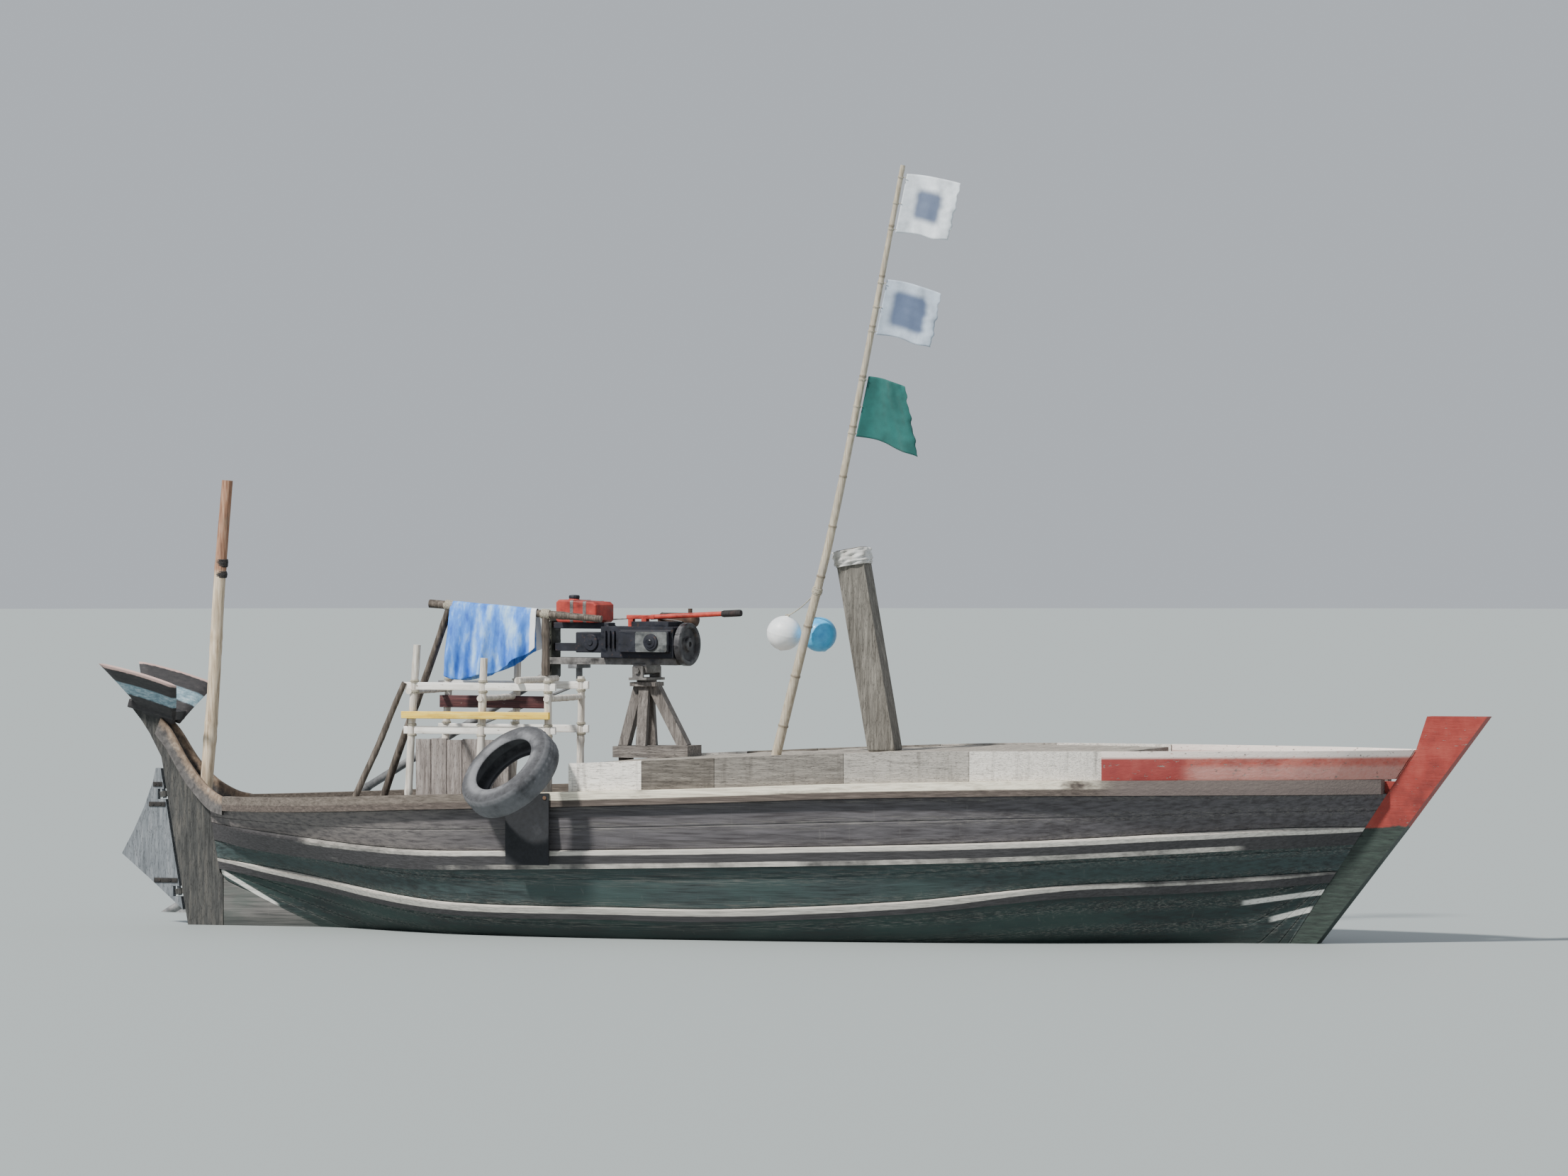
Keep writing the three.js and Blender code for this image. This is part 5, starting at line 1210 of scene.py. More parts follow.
# Mast post, a squared baulk leaning aft on the hold deck, grey and split, with a white rag bound round its head.
mast_wood = bleached_boards(
    "mast_wood", (0.075, 0.068, 0.058), (0.165, 0.155, 0.135), (0.33, 0.31, 0.27), (15, 15, 1.3), (6, 6, 0.7),
)
eased("mast_post", mast_wood, 0.012, segments=3)
MAST_FOOT, MAST_HEAD, MAST_WIDE, MAST_DEEP = np.array((0.564, 0, 1.040)), np.array((0.352, 0, 2.250)), 0.150, 0.165
MAST_WAY = (MAST_HEAD - MAST_FOOT) / np.linalg.norm(MAST_HEAD - MAST_FOOT)
RAG_WIDTH, RAG_OFF = 0.072, 0.010


def bound_rag(turns=3, count=220, cols=12):
    """Rag band wound round the squared post: the path is a rounded rectangle round the post's section that climbs
    30 mm in its turns, each turn a little further out, and the band is gathered in small ripples."""
    t = np.linspace(0, 1, count)
    angle = 2 * np.pi * turns * t
    round_square = (np.abs(np.cos(angle)) ** 5 + np.abs(np.sin(angle)) ** 5) ** (-1 / 5)
    out_x = (MAST_WIDE / 2 + RAG_OFF + RAG_OFF * t) * round_square * np.sin(angle)
    out_y = (MAST_DEEP / 2 + RAG_OFF + RAG_OFF * t) * round_square * np.cos(angle)
    low = MAST_HEAD - MAST_WAY * (0.070 - 0.030 * t[:, None])
    square = np.cross(MAST_WAY, (0, 1, 0))
    path = low + out_x[:, None] * (0, 1, 0) + out_y[:, None] * square
    v = np.linspace(-1, 1, cols)
    radial = path - low
    radial /= np.linalg.norm(radial, axis=1, keepdims=True)
    ripple = 0.004 * np.sin(23 * angle[:, None] / np.pi + 5 * v[None]) + 0.003 * np.cos(9 * v[None] + 31 * t[:, None])
    return path[:, None] + v[None, :, None] * (RAG_WIDTH / 2) * MAST_WAY + ripple[..., None] * radial[:, None]


rag = bound_rag()
rag_white = woven_sheet("rag_white", (0.42, 0.41, 0.38), (0.66, 0.66, 0.64), (0.82, 0.83, 0.83))
cloth_piece(
    "mast_lashing_rag", rag, rag_white, "mast_lashing", "white_cloth", 0.003,
    held="stretched", rests_on=["mast_post"],
    flat=(RAG_WIDTH, round(surface_area(rag) / RAG_WIDTH, 3)),
)


# Flag staff: a bamboo culm leaning forward and bent by the wind, its nodes ringed. Its foot stands on the hold
# deck.
STAFF = np.array([
    (-0.070, -0.135, 1.028), (0.110, -0.138, 1.720), (0.262, -0.142, 2.290), (0.460, -0.120, 3.250),
    (0.700, -0.110, 4.470),
])
STAFF_LOW, STAFF_HIGH, NODE_FIRST, NODE_STEP = 1.040, 4.470, 1.220, 0.290


def staff_at(z):
    return np.stack([*(fair(STAFF[:, 2], STAFF[:, axis], z) for axis in (0, 1)), z], axis=-1)


nodes = np.arange(NODE_FIRST, 4.4, NODE_STEP)[:, None] + np.array([-0.012, -0.004, 0, 0.004, 0.012])
culm_z = np.unique(np.concatenate([np.linspace(STAFF_LOW, STAFF_HIGH, 90), nodes.ravel()]))
node_at = np.abs((culm_z - NODE_FIRST + NODE_STEP / 2) % NODE_STEP - NODE_STEP / 2)
swell = 1 + 0.10 * np.exp(-((node_at / 0.006) ** 2)) - 0.05 * np.exp(-(((node_at - 0.012) / 0.006) ** 2))
culm_r = np.interp(culm_z, (STAFF_LOW, STAFF_HIGH), (0.029, 0.0145)) * swell
culm = carried(round_section(1, 16), staff_at(culm_z), up=(0.1, 1, 0), sizes=culm_r)
staff = piece_from("flag_staff_culm", [culm], marks={"ring": [np.exp(-((node_at / 0.007) ** 2))[:, None]]})


def bamboo_finish(name):
    """Dry bamboo: long fine fibres, grey patches, and dark rings at the nodes from the mark "ring"."""
    material, tree = shader(name, 0.5)
    fibre = noise(tree, (60, 60, 1.5), 3.0, 5)
    tone = ramp(tree, fibre, [(0.3, (0.26, 0.21, 0.14)), (0.5, (0.46, 0.40, 0.30)), (0.7, (0.62, 0.57, 0.46))])
    grey = patches(tree, 0.45, 0.7, (3, 3, 1.2), 2.6, 5)
    tone = mixed(tree, grey, tone, (0.36, 0.34, 0.31), 0.5)
    tone = mixed(tree, mark(tree, "ring"), tone, (0.12, 0.09, 0.06), 0.7)
    return coat(material, tone, (fibre, 0.25, 0.003))


dress(staff, bamboo_finish("dry_bamboo"), "flag_staff")


# The three flags, thin cloths tied to the staff by their hoists. The upper two are white with a faded blue-grey
# middle, the lower one is teal with its upper corner torn back, and all stream forward and droop at the fly.
FLAGS = {  # low and high z on the staff, length, droop at the fly, and the shares torn off its lower and upper corner
    "flag_upper": (4.080, 4.420, 0.335, 0.060, 0.02, 0.0),
    "flag_middle": (3.490, 3.810, 0.350, 0.090, 0.03, 0.04),
    "flag_lower": (2.900, 3.250, 0.385, 0.130, 0.00, 0.40),
}
FLAG_PANEL = {"flag_upper": 0.33, "flag_middle": 0.40, "flag_lower": 0.30}  # half of the panel's share of the flag


def streaming(low, high, length, droop, torn_foot, torn_head, rows=44, cols=34):
    """Flag: u runs from hoist to fly and v from foot to head. The height falls by droop times the power 1.5 of the
    share of the length, the cloth swings aside by 28 mm sin(5.2 u) plus finer ripples that grow with u, and the fly
    edge is ragged and torn back at its corners."""
    u = np.linspace(0, 1, rows)[:, None]
    v = np.linspace(0, 1, cols)[None]
    height = low + v * (high - low)
    hoist = staff_at(np.broadcast_to(height, (rows, cols)))
    torn = torn_foot * (1 - v) ** 2 + torn_head * v
    fly = length * (1 - torn - 0.012 * np.sin(19 * v) - 0.008 * np.sin(41 * v + 1))
    along = 0.030 + u * fly
    aside = 0.028 * np.sin(5.2 * u + 0.5 * v) + u * (0.010 * np.sin(13 * u - 3 * v) + 0.004 * np.sin(29 * u + 7 * v))
    fall = droop * (u * fly / length) ** 1.5 + 0.010 * u * np.sin(9 * u + 2) * (1 - v)
    return np.stack([hoist[..., 0] + along, hoist[..., 1] + aside, height - fall], axis=-1)


def flag_cloth(name, field, patch=None):
    """Thin faded cloth; "patch" is the colour that the mark "panel" brings in the flag's middle."""
    material, tree = shader(name, 0.85, Sheen_Weight=0.15)
    fade = noise(tree, (1, 1, 1), 11.0, 6)
    tone = ramp(tree, fade, [(0.3, toned(field, 0.72)), (0.55, field), (0.75, toned(field, 1.2))])
    if patch:
        panel = times(tree, band_of(tree, mark(tree, "panel"), 0.05, 0.95), 0.92)
        tone = mixed(tree, panel, tone, patch)
    return coat(material, tone, (noise(tree, (1, 1, 1), 60.0, 3), 0.3, 0.002))


flag_finish = {
    "flag_upper": flag_cloth("flag_white", (0.74, 0.80, 0.86), (0.075, 0.11, 0.20)),
    "flag_middle": flag_cloth("flag_grey", (0.46, 0.54, 0.64), (0.065, 0.10, 0.19)),
    "flag_lower": flag_cloth("flag_teal", (0.010, 0.110, 0.100)),
}
PANEL_SOFT = 0.16
ties = []
for name, (low, high, length, *cut) in FLAGS.items():
    surface = streaming(low, high, length, *cut)
    rows, cols = surface.shape[:2]
    u, v = np.linspace(0, 1, rows)[:, None], np.linspace(0, 1, cols)[None]
    inside_u, inside_v = ((FLAG_PANEL[name] - np.abs(w - mid)) / PANEL_SOFT for w, mid in ((u, 0.48), (v, 0.5)))
    panel = np.clip(inside_u, 0, 1) * np.clip(inside_v, 0, 1)
    area = surface_area(surface)
    cloth_piece(
        f"{name}_cloth", surface, flag_finish[name], name, frame_slots[name], 0.0015, marks={"panel": [panel]},
        flat=(length, round(area / length, 3)), area=round(area, 4), held="hung", rests_on=["flag_staff_culm"],
    )
    for z in (low + 0.02, (low + high) / 2, high - 0.02):
        at = staff_at(np.array([z - 0.006, z + 0.006]))
        snug = float(np.interp(z, (STAFF_LOW, STAFF_HIGH), (0.031, 0.0165)))
        ties.append(wound(at[0], at[1], snug, 0.002))
        ties.append(carried(round_section(0.0022, 8), [at[0] + (0.012, 0, 0.004), at[0] + (0.034, 0.002, 0.006)]))
dress(piece_from("flag_ties", ties), cream_twine)


# Two fishing floats beside the staff, one white and one blue: hollow moulded plastic balls with a seam round the
# middle and a lug at each pole, through which a short line ties them to the staff.
FLOAT_RADIUS = 0.105
FLOATS = {  # centre, and the way that its poles point
    "float_white": ((-0.066, 0.020, 1.756), (0.24, -0.10, 1)),
    "float_blue": ((0.150, 0.020, 1.750), (-0.30, -0.16, 1)),
}


def float_ball(centre, pole_way, rows=64, cols=48):
    """Ball of revolution about its poles, with a 2 mm seam ridge round the middle and a lug at each pole, where the
    profile rises 4 mm to a rounded nib."""
    angle = np.linspace(0.004, np.pi - 0.004, rows)
    seam = 0.002 * np.exp(-(((angle - np.pi / 2) / 0.03) ** 2))
    out, up = (FLOAT_RADIUS - 0.004 + seam) * np.sin(angle), (FLOAT_RADIUS - 0.004 + seam) * np.cos(angle)
    nib = np.exp(-((np.sin(angle) / 0.13) ** 4))
    up = up + np.sign(up) * 0.004 * nib
    way = np.array(pole_way) / np.linalg.norm(pole_way)
    ring = round_about(way, (0, 1, 0), np.arange(cols) * 2 * np.pi / cols)
    return np.array(centre) + up[:, None, None] * way + out[:, None, None] * ring[None]


def moulded_plastic(name, deep, colour):
    material, tree = shader(name, 0.38, Coat_Weight=0.15)
    cloud = noise(tree, (1, 1, 1), 12.0, 5)
    tone = ramp(tree, cloud, [(0.3, deep), (0.6, colour)])
    grime = patches(tree, 0.55, 0.8, (1, 1, 1), 26.0, 7, 0.7)
    tone = mixed(tree, grime, tone, (0.20, 0.19, 0.16), 0.35)
    pores = noise(tree, (1, 1, 1), 90.0, 3)
    return coat(material, tone, (pores, 0.12, 0.002), rough=(cloud, [(0.3, 0.30), (0.7, 0.55)]))


float_finishes = {
    "float_white": moulded_plastic("float_white_plastic", (0.74, 0.79, 0.82), (0.93, 0.95, 0.96)),
    "float_blue": moulded_plastic("float_blue_plastic", (0.03, 0.30, 0.66), (0.09, 0.54, 0.95)),
}
LINE_HALF = 0.0035
lines = []
for name, (centre, pole_way) in FLOATS.items():
    piece = piece_from(f"{name}_ball", [float_ball(centre, pole_way)], smooth=60)
    dress(piece, float_finishes[name], name)
    way = np.array(pole_way) / np.linalg.norm(pole_way)
    top = np.array(centre) + way * (FLOAT_RADIUS + 0.001)
    tie = staff_at(np.array(top[2] + 0.150))
    t = np.linspace(0, 1, 26)[:, None]
    hung = top + t * (tie - top) + np.array((0, 0, -0.018)) * 4 * t * (1 - t)
    lines.append(carried(round_section(LINE_HALF, 8), hung, up=(0.3, 1, 0.2)))
    angle = np.linspace(0, 2 * np.pi, 20)[:, None]
    knot = np.concatenate([np.cos(angle), 0.4 * np.sin(2 * angle), np.sin(angle) * 0.5 + 0.02 * angle], axis=1)
    lines.append(carried(round_section(LINE_HALF, 8), top + 0.012 * knot, up=(0.2, 1, 0.3)))
    lines.append(wound(staff_at(tie[2] - 0.014), staff_at(tie[2] + 0.014), 0.029, LINE_HALF))
dress(piece_from("float_lines", lines), cream_twine)


# Tyre fender: a worn car tyre lying out against the starboard rail, tread scuffed grey, its rim worn pale. Under
# it a near-black slab of conveyor rubber hangs over the side. From the upper wale down, the slab is painted
# shadow: it stands in for the tyre's shadow on the planks.
TYRE_CENTRE, TYRE_AXIS = np.array((-1.352, -1.112, 0.968)), np.array((-0.376, -0.643, 0.667))
TYRE_RADIUS, TYRE_HALF_WIDTH = 0.305, 0.085


def tyre_ring(rows=180, cols=60):
    """Tyre: its section runs from the inner bead round the sidewall, shoulder and tread and back inside, drawn as a
    smooth closed line through (radius, width) pairs and turned about the axis. Tread gaps are sunk up to 4 mm by a
    soft square wave round the ring and by three grooves."""
    half = np.array([
        (0.62, 0.70), (0.615, 0.84), (0.66, 0.95), (0.76, 1.00), (0.88, 0.97), (0.95, 0.86), (0.985, 0.66),
        (1.0, 0.40), (1.0, 0.0),
    ])
    inner = np.array([(0.955, 0.0), (0.95, 0.45), (0.90, 0.74), (0.80, 0.86), (0.70, 0.84)])
    loop = np.concatenate([half, (half * (1, -1))[-2::-1], (inner * (1, -1))[::-1], inner[1:]])
    closed = np.concatenate([loop, loop[:1]])
    run = np.concatenate([[0], np.cumsum(np.linalg.norm(np.diff(closed, axis=0), axis=1))])
    even = np.linspace(0, run[-1], cols, endpoint=False)
    r, w = np.interp(even, run, closed[:, 0]), np.interp(even, run, closed[:, 1])
    for _ in range(2):
        r, w = ((np.roll(p, 1) + 2 * p + np.roll(p, -1)) / 4 for p in (r, w))
    turn = np.arange(rows) * 2 * np.pi / rows
    tread = (r > 0.965)[None] * 1.0
    blocks = 0.5 + 0.5 * np.tanh(6 * np.sin(44 * turn[:, None] + 5 * np.abs(w)[None]))
    grooves = np.exp(-((np.abs(np.abs(w) - 0.30) / 0.07) ** 2)) + np.exp(-((w / 0.06) ** 2))
    sunk = 0.004 * tread * np.clip(0.7 * (1 - blocks) + grooves[None], 0, 1)
    axis = TYRE_AXIS / np.linalg.norm(TYRE_AXIS)
    out = r[None] * TYRE_RADIUS - sunk
    out = out * (1 + 0.006 * np.sin(2 * turn + 1))[:, None]
    ring = round_about(axis, (0, 0, 1), turn)
    grid = TYRE_CENTRE + out[..., None] * ring[:, None] + (w * TYRE_HALF_WIDTH)[None, :, None] * axis
    scuffed = np.clip(1.5 * np.exp(-(((r - 0.70) / 0.09) ** 2)) * (np.abs(w) > 0.8) + 0.55 * (r > 0.94), 0, 1)
    return grid, scuffed[None]


def worn_rubber(name, black, grey):
    """Rubber, chalked grey where the mark "scuffed" is set and in blotches, with fine cracks."""
    material, tree = shader(name, 0.85)
    fine = noise(tree, (1, 1, 1), 38.0, 7, 0.7)
    blotch = noise(tree, (1, 1, 1), 7.0, 5)
    tone = ramp(tree, fine, [(0.35, black), (0.75, toned(black, 2.4))])
    chalk = times(tree, mark(tree, "scuffed"), band_of(tree, blotch, 0.28, 0.60))
    chalk = calc(tree, "MAXIMUM", chalk, times(tree, band_of(tree, blotch, 0.55, 0.75), 0.5))
    return coat(material, mixed(tree, chalk, tone, grey, 0.85), (fine, 0.3, 0.002))


ring, scuffed = tyre_ring()
tyre = piece_from("tyre_fender_ring", [ring], looped=True, marks={"scuffed": [scuffed]})
tyre_finish = worn_rubber("tyre_rubber_worn", (0.036, 0.037, 0.041), (0.215, 0.22, 0.235))
dress(tyre, tyre_finish, "tyre_fender")
MAT_AFT, MAT_FORE, MAT_AND_SHADOW_FOOT, MAT_THICK = -1.420, -1.150, 0.430, 0.012
NAIL_X, NAIL_Z = (-1.395, -1.285, -1.175), 0.818


def hung_mat(rows=40, cols=60):
    """Rubber slab: it hangs from the rail's outer face, and below the rail it bows in and out by up to 4 mm in a
    sine that grows towards its free edge. From the upper wale down, the slab is painted shadow of the tyre."""
    x = np.linspace(MAT_AFT, MAT_FORE, rows)[:, None]
    t = np.linspace(0, 1, cols)[None]
    top = rail_top(x) - 0.004
    z = top + t * (MAT_AND_SHADOW_FOOT - top)
    out = beam(x) + 0.052 + 0.002 * t + 0.004 * np.sin(8 * t + 20 * x) * t
    face = np.stack([np.broadcast_to(x, z.shape), -(out + MAT_THICK), z], axis=-1)
    back = np.stack([np.broadcast_to(x, z.shape), -out, z], axis=-1)
    return np.concatenate([face, back[:, ::-1]], axis=1)


# Near-black rubber mat. Its part below the upper wale is painted shadow of the tyre on the planks.
mat = piece_from("rubber_mat_and_shadow_slab", [hung_mat()], smooth=50, marks={"scuffed": [np.full((1, 120), 0.15)]})
mat_and_shadow_finish = worn_rubber("mat_rubber_and_painted_shadow", (0.007, 0.008, 0.010), (0.050, 0.052, 0.060))
dress(mat, mat_and_shadow_finish, "rubber_mat")
nails = []
for x in NAIL_X:
    ends = [(x, -(float(beam(np.array(x))) + off), NAIL_Z) for off in (0.0645, 0.069)]
    nails.append(carried(round_section(0.011, 12), ends, up=(0, 0, 1)))
mat_nails = piece_from("rubber_mat_nails", nails)
rusty = bleached_boards(
    "rusty_iron", (0.05, 0.030, 0.020), (0.15, 0.080, 0.048), (0.28, 0.17, 0.11), (9, 9, 9), (6, 6, 1),
)
dress(mat_nails, rusty)


# Rudder: a plank fin hung on the sternpost, grey and water-worn, with a pair of iron straps at each pin, bolted
# through. It turns on two pins that drop into the post's rings.
RUDDER_STRAPS = ((0.835, 0.058), (0.716, 0.105), (0.262, 0.150))  # z, length
RUDDER_FORE, RUDDER_RAKE, RUDDER_HALF, STRAP_HALF, STRAP_THICK = -3.785, 0.17, 0.022, 0.014, 0.005
rudder_wood = bleached_boards(
    "rudder_wood", (0.10, 0.112, 0.125), (0.195, 0.215, 0.235), (0.31, 0.325, 0.345), (12, 12, 1.1), (7, 7, 0.6),
)
eased("rudder", rudder_wood, 0.006)
straps = []
for z, length in RUDDER_STRAPS:
    fore = RUDDER_FORE - RUDDER_RAKE * z - 0.034
    for side in (1, -1):
        face = side * (RUDDER_HALF + STRAP_THICK / 2)
        ends = [(fore, face, z), (fore - length, face, z)]
        straps.append(carried(squared(STRAP_THICK / 2, STRAP_HALF, 0.001), ends))
        for share in (0.3, 0.75):
            head = np.array((fore - share * length, face, z))
            straps.append(carried(round_section(0.007, 10), [head, head + (0, side * 0.006, 0)], up=(0, 0, 1)))
rudder_irons = piece_from("rudder_straps", straps, body="rudder")
dark_iron, iron_tree = shader("dark_iron", 0.7, Metallic=0.4)
iron_rust = noise(iron_tree, (1, 1, 1), 30.0, 7, 0.7)
iron_tones = [(0.35, (0.016, 0.016, 0.017)), (0.58, (0.040, 0.037, 0.035)), (0.7, (0.085, 0.055, 0.040))]
coat(dark_iron, ramp(iron_tree, iron_rust, iron_tones), (iron_rust, 0.3, 0.002))
dress(rudder_irons, dark_iron)


# Engine stand: a sawn base plank over the hold's edge and the fore thwart, two raking legs and two struts up to
# an iron plate with the swivel's seat. Oily grey wood.
stand_wood = bleached_boards(
    "stand_wood", (0.075, 0.068, 0.062), (0.20, 0.18, 0.165), (0.36, 0.33, 0.30), (15, 15, 1.2), (6, 6, 0.8),
    crossed=("Z", 1.004, 1.079, (1.2, 15, 15)),
)
eased("engine_stand", stand_wood, 0.004)
SWIVEL, TAIL_SWING, TAIL_DROP, TAIL_LENGTH = np.array((-1.120, 0.620, 1.520)), radians(-12), radians(28.5), 3.550
TAIL_START = np.array((-0.647, 0.0, -0.004))


def at_engine(points):
    """From the engine's own frame (tail towards -X, pin at the origin) to the boat's: a turn about Z by the swing,
    then a shift to the swivel."""
    points = np.asarray(points, float)
    c, s = np.cos(TAIL_SWING), np.sin(TAIL_SWING)
    x, y, z = np.moveaxis(points, -1, 0)
    return np.stack([c * x - s * y, s * x + c * y, z], axis=-1) + SWIVEL


def down_tail(distance, above=0.0):
    """Point of the tail, by distance from its start along it and height square to it."""
    return TAIL_START + np.array((
        -distance * np.cos(TAIL_DROP) - above * np.sin(TAIL_DROP), 0,
        -distance * np.sin(TAIL_DROP) + above * np.cos(TAIL_DROP),
    ))


def oily_metal(name, dark, colour, light, rough=0.45, metal=0.0):
    """Engine paint or bare iron under oil: mottled tone, rust in noise patches, darker and glossier where oily."""
    material, tree = shader(name, rough, Metallic=metal)
    mottle = noise(tree, (1, 1, 1), 14.0, 7, 0.65)
    tone = ramp(tree, mottle, [(0.3, dark), (0.52, colour), (0.75, light)])
    rust = patches(tree, 0.58, 0.68, (1, 1, 1), 30.0, 8, 0.72)
    tone = mixed(tree, rust, tone, (0.11, 0.055, 0.032), 0.5)
    oil = patches(tree, 0.50, 0.68, (2, 2, 5), 4.0, 4)
    tone = mixed(tree, oil, tone, toned(dark, 0.35), 0.6)
    return coat(material, tone, (mottle, 0.2, 0.002), rough=(oil, [(0.0, rough + 0.2), (1.0, rough - 0.15)]))


# Swivel yoke and engine bed: a flat iron yoke with two cheeks and a pin, and two angle rails that tip on it.
greased_iron = oily_metal("greased_iron", (0.09, 0.085, 0.08), (0.24, 0.23, 0.22), (0.42, 0.41, 0.39), 0.45, 0.6)
for node in ("swivel_yoke", "engine_bed"):
    eased(node, greased_iron, 0.002)
NUT_IN, NUT_OUT = 0.1085, 0.1215
nuts = [
    carried(round_section(0.019, 6), at_engine([(0, side * NUT_IN, 0), (0, side * NUT_OUT, 0)]), up=(0, 0, 1))
    for side in (1, -1)
]
dress(piece_from("swivel_pin_nuts", nuts, body="engine_swivel"), greased_iron)


# Engine: a small horizontal diesel in dark navy-grey paint. Round bolted covers on grey shrouds, short ribs and an
# injector with its fuel pipe dress the block, and a cast drive case with bearing caps stands behind it.
engine_paint = oily_metal("engine_navy", (0.004, 0.005, 0.009), (0.010, 0.012, 0.021), (0.026, 0.029, 0.040), 0.46)
case_paint = oily_metal("case_olive", (0.006, 0.007, 0.004), (0.018, 0.020, 0.012), (0.055, 0.057, 0.038), 0.5)
eased("engine_block", engine_paint, 0.009, segments=3)
eased("drive_case", case_paint, 0.008, segments=3)


def lathed(centre, way, profile, sides=40):
    """Turned part: the profile's (distance along the axis, radius) pairs carried round the axis "way"."""
    centre, way = np.array(centre, float), np.array(way, float)
    profile = np.asarray(profile, float)
    ring = round_about(way, (0.31, 0.12, 0.94), np.arange(sides) * 2 * np.pi / sides)
    return centre + profile[:, 0][:, None, None] * way + profile[:, 1][:, None, None] * ring[None]


def engine_piece(name, grids, material, node=None, smooth=40, body="engine"):
    dress(piece_from(name, [at_engine(grid) for grid in grids], smooth=smooth, body=body), material, node)


def hex_heads(spots, way, radius, height):
    profile = [(0, radius), (height * 0.8, radius), (height, radius * 0.85)]
    return [lathed(spot, way, profile, sides=6) for spot in spots]


COVER_X, COVER_Z, BOLT_RING, CASE_HALF, BEARING_X = 0.122, 0.172, 0.043, 0.054, -0.663
COVER_PROFILE = np.array([  # distance out along the axis, radius
    (0, 0.088), (0.006, 0.088), (0.010, 0.084), (0.012, 0.062), (0.016, 0.058), (0.018, 0.030), (0.021, 0.026),
    (0.023, 0.012),
]) * (1, 0.56)
PLATE_PROFILE = [(0, 0.050), (0.006, 0.050), (0.010, 0.046), (0.012, 0.020), (0.018, 0.016)]
INJECTOR_PROFILE = [(0, 0.012), (0.020, 0.012), (0.022, 0.008), (0.045, 0.008), (0.047, 0.011), (0.055, 0.010)]
BEARINGS = ((0.005, 0.024), (0.171, 0.026), (0.252, 0.019))  # z, radius
INJECTOR = (0.215, 0.050, 0.236)
PIPE_FORE, PIPE_AFT = np.array((0.215, 0.050, 0.290)), np.array((-0.300, 0.090, 0.300))
around_cover = np.arange(8) * np.pi / 4 + 0.2
covers, heads = [], []
for side in (1, -1):
    outward = (0, side, 0)
    covers.append(lathed((COVER_X, side * 0.157, COVER_Z), outward, COVER_PROFILE))
    spots = [(COVER_X + BOLT_RING * np.cos(a), side * 0.162, COVER_Z + BOLT_RING * np.sin(a)) for a in around_cover]
    heads += hex_heads(spots, outward, 0.005, 0.005)
    for x in (-0.150, -0.180, -0.210):
        ends = [(x, side * 0.118, 0.185), (x, side * 0.134, 0.185)]
        covers.append(carried(squared(0.004, 0.052, 0.002), ends, up=(0, 0, 1)))
    covers.append(lathed((-0.350, side * 0.062, 0.165), outward, PLATE_PROFILE))
    spots = [(x, side * CASE_HALF, z) for x in (-0.683, -0.643) for z in (-0.030, 0.130, 0.212, 0.292)]
    heads += hex_heads(spots, outward, 0.0055, 0.006)
    for z, size in BEARINGS:
        cap = [(0, size), (0.008, size), (0.012, size - 0.005), (0.012, 0.4 * size), (0.018, 0.3 * size)]
        covers.append(lathed((BEARING_X, side * CASE_HALF, z), outward, cap))
injector = lathed(INJECTOR, (0, 0, 1), INJECTOR_PROFILE, sides=12)
engine_piece("engine_covers", [*covers, injector], engine_paint)
shroud_paint = oily_metal("shroud_grey", (0.05, 0.055, 0.055), (0.125, 0.135, 0.135), (0.23, 0.245, 0.245), 0.5)
shrouds = [
    carried(squared(0.108, 0.060, 0.012), [(COVER_X, side * y, 0.173) for y in (0.1503, 0.1570)], up=(0, 0, 1))
    for side in (1, -1)
]
engine_piece("engine_shrouds", shrouds, shroud_paint)
engine_piece("engine_bolts", heads, greased_iron)
t = np.linspace(0, 1, 30)[:, None]
fuel_run = PIPE_FORE + t * (PIPE_AFT - PIPE_FORE) + np.array((0, 0.30, 0.05)) * t * (1 - t)
engine_piece("fuel_pipe", [carried(round_section(0.0035, 8), fuel_run, up=(0, 0.3, 1))], greased_iron)


# Flywheel: cast iron, a heavy rim and a dished web with a starting boss.
WHEEL_PROFILE = [  # x, radius
    (0.258, 0.030), (0.258, 0.096), (0.262, 0.104), (0.258, 0.110), (0.259, 0.124), (0.263, 0.128), (0.295, 0.128),
    (0.300, 0.123), (0.300, 0.104), (0.296, 0.100), (0.283, 0.094), (0.281, 0.050), (0.286, 0.044), (0.297, 0.040),
    (0.300, 0.036), (0.300, 0.016), (0.292, 0.014),
]
wheel_body = lathed((0, 0, 0.158), (1, 0, 0), WHEEL_PROFILE, sides=72)
wheel_iron = oily_metal("cast_wheel", (0.03, 0.03, 0.034), (0.085, 0.085, 0.09), (0.22, 0.22, 0.22), 0.4, 0.5)
engine_piece("flywheel_casting", [wheel_body], wheel_iron, "flywheel", smooth=30)


# Fuel tank: pressed steel, red, lying on a bearer, with two strap bands and a screw cap.
tank_red = oily_metal("tank_red", (0.24, 0.024, 0.018), (0.42, 0.045, 0.030), (0.54, 0.09, 0.06))
eased("fuel_tank", tank_red, 0.014, segments=4)
TANK_FOOT, TANK_HALF, TANK_TOP = 0.2833, 0.105, ((-0.552, -0.310), (0.420, 0.406))
STRAP_X, STRAP_HALF_WIDE, STRAP_OFF = (-0.460, -0.370), 0.011, 0.0016
CAP_AT, CAP_SIDES = np.array((-0.505, 0, 0.424)), 48
CAP_PROFILE = [(0, 0.0305), (0.003, 0.0325), (0.016, 0.0325), (0.021, 0.029), (0.023, 0.010)]


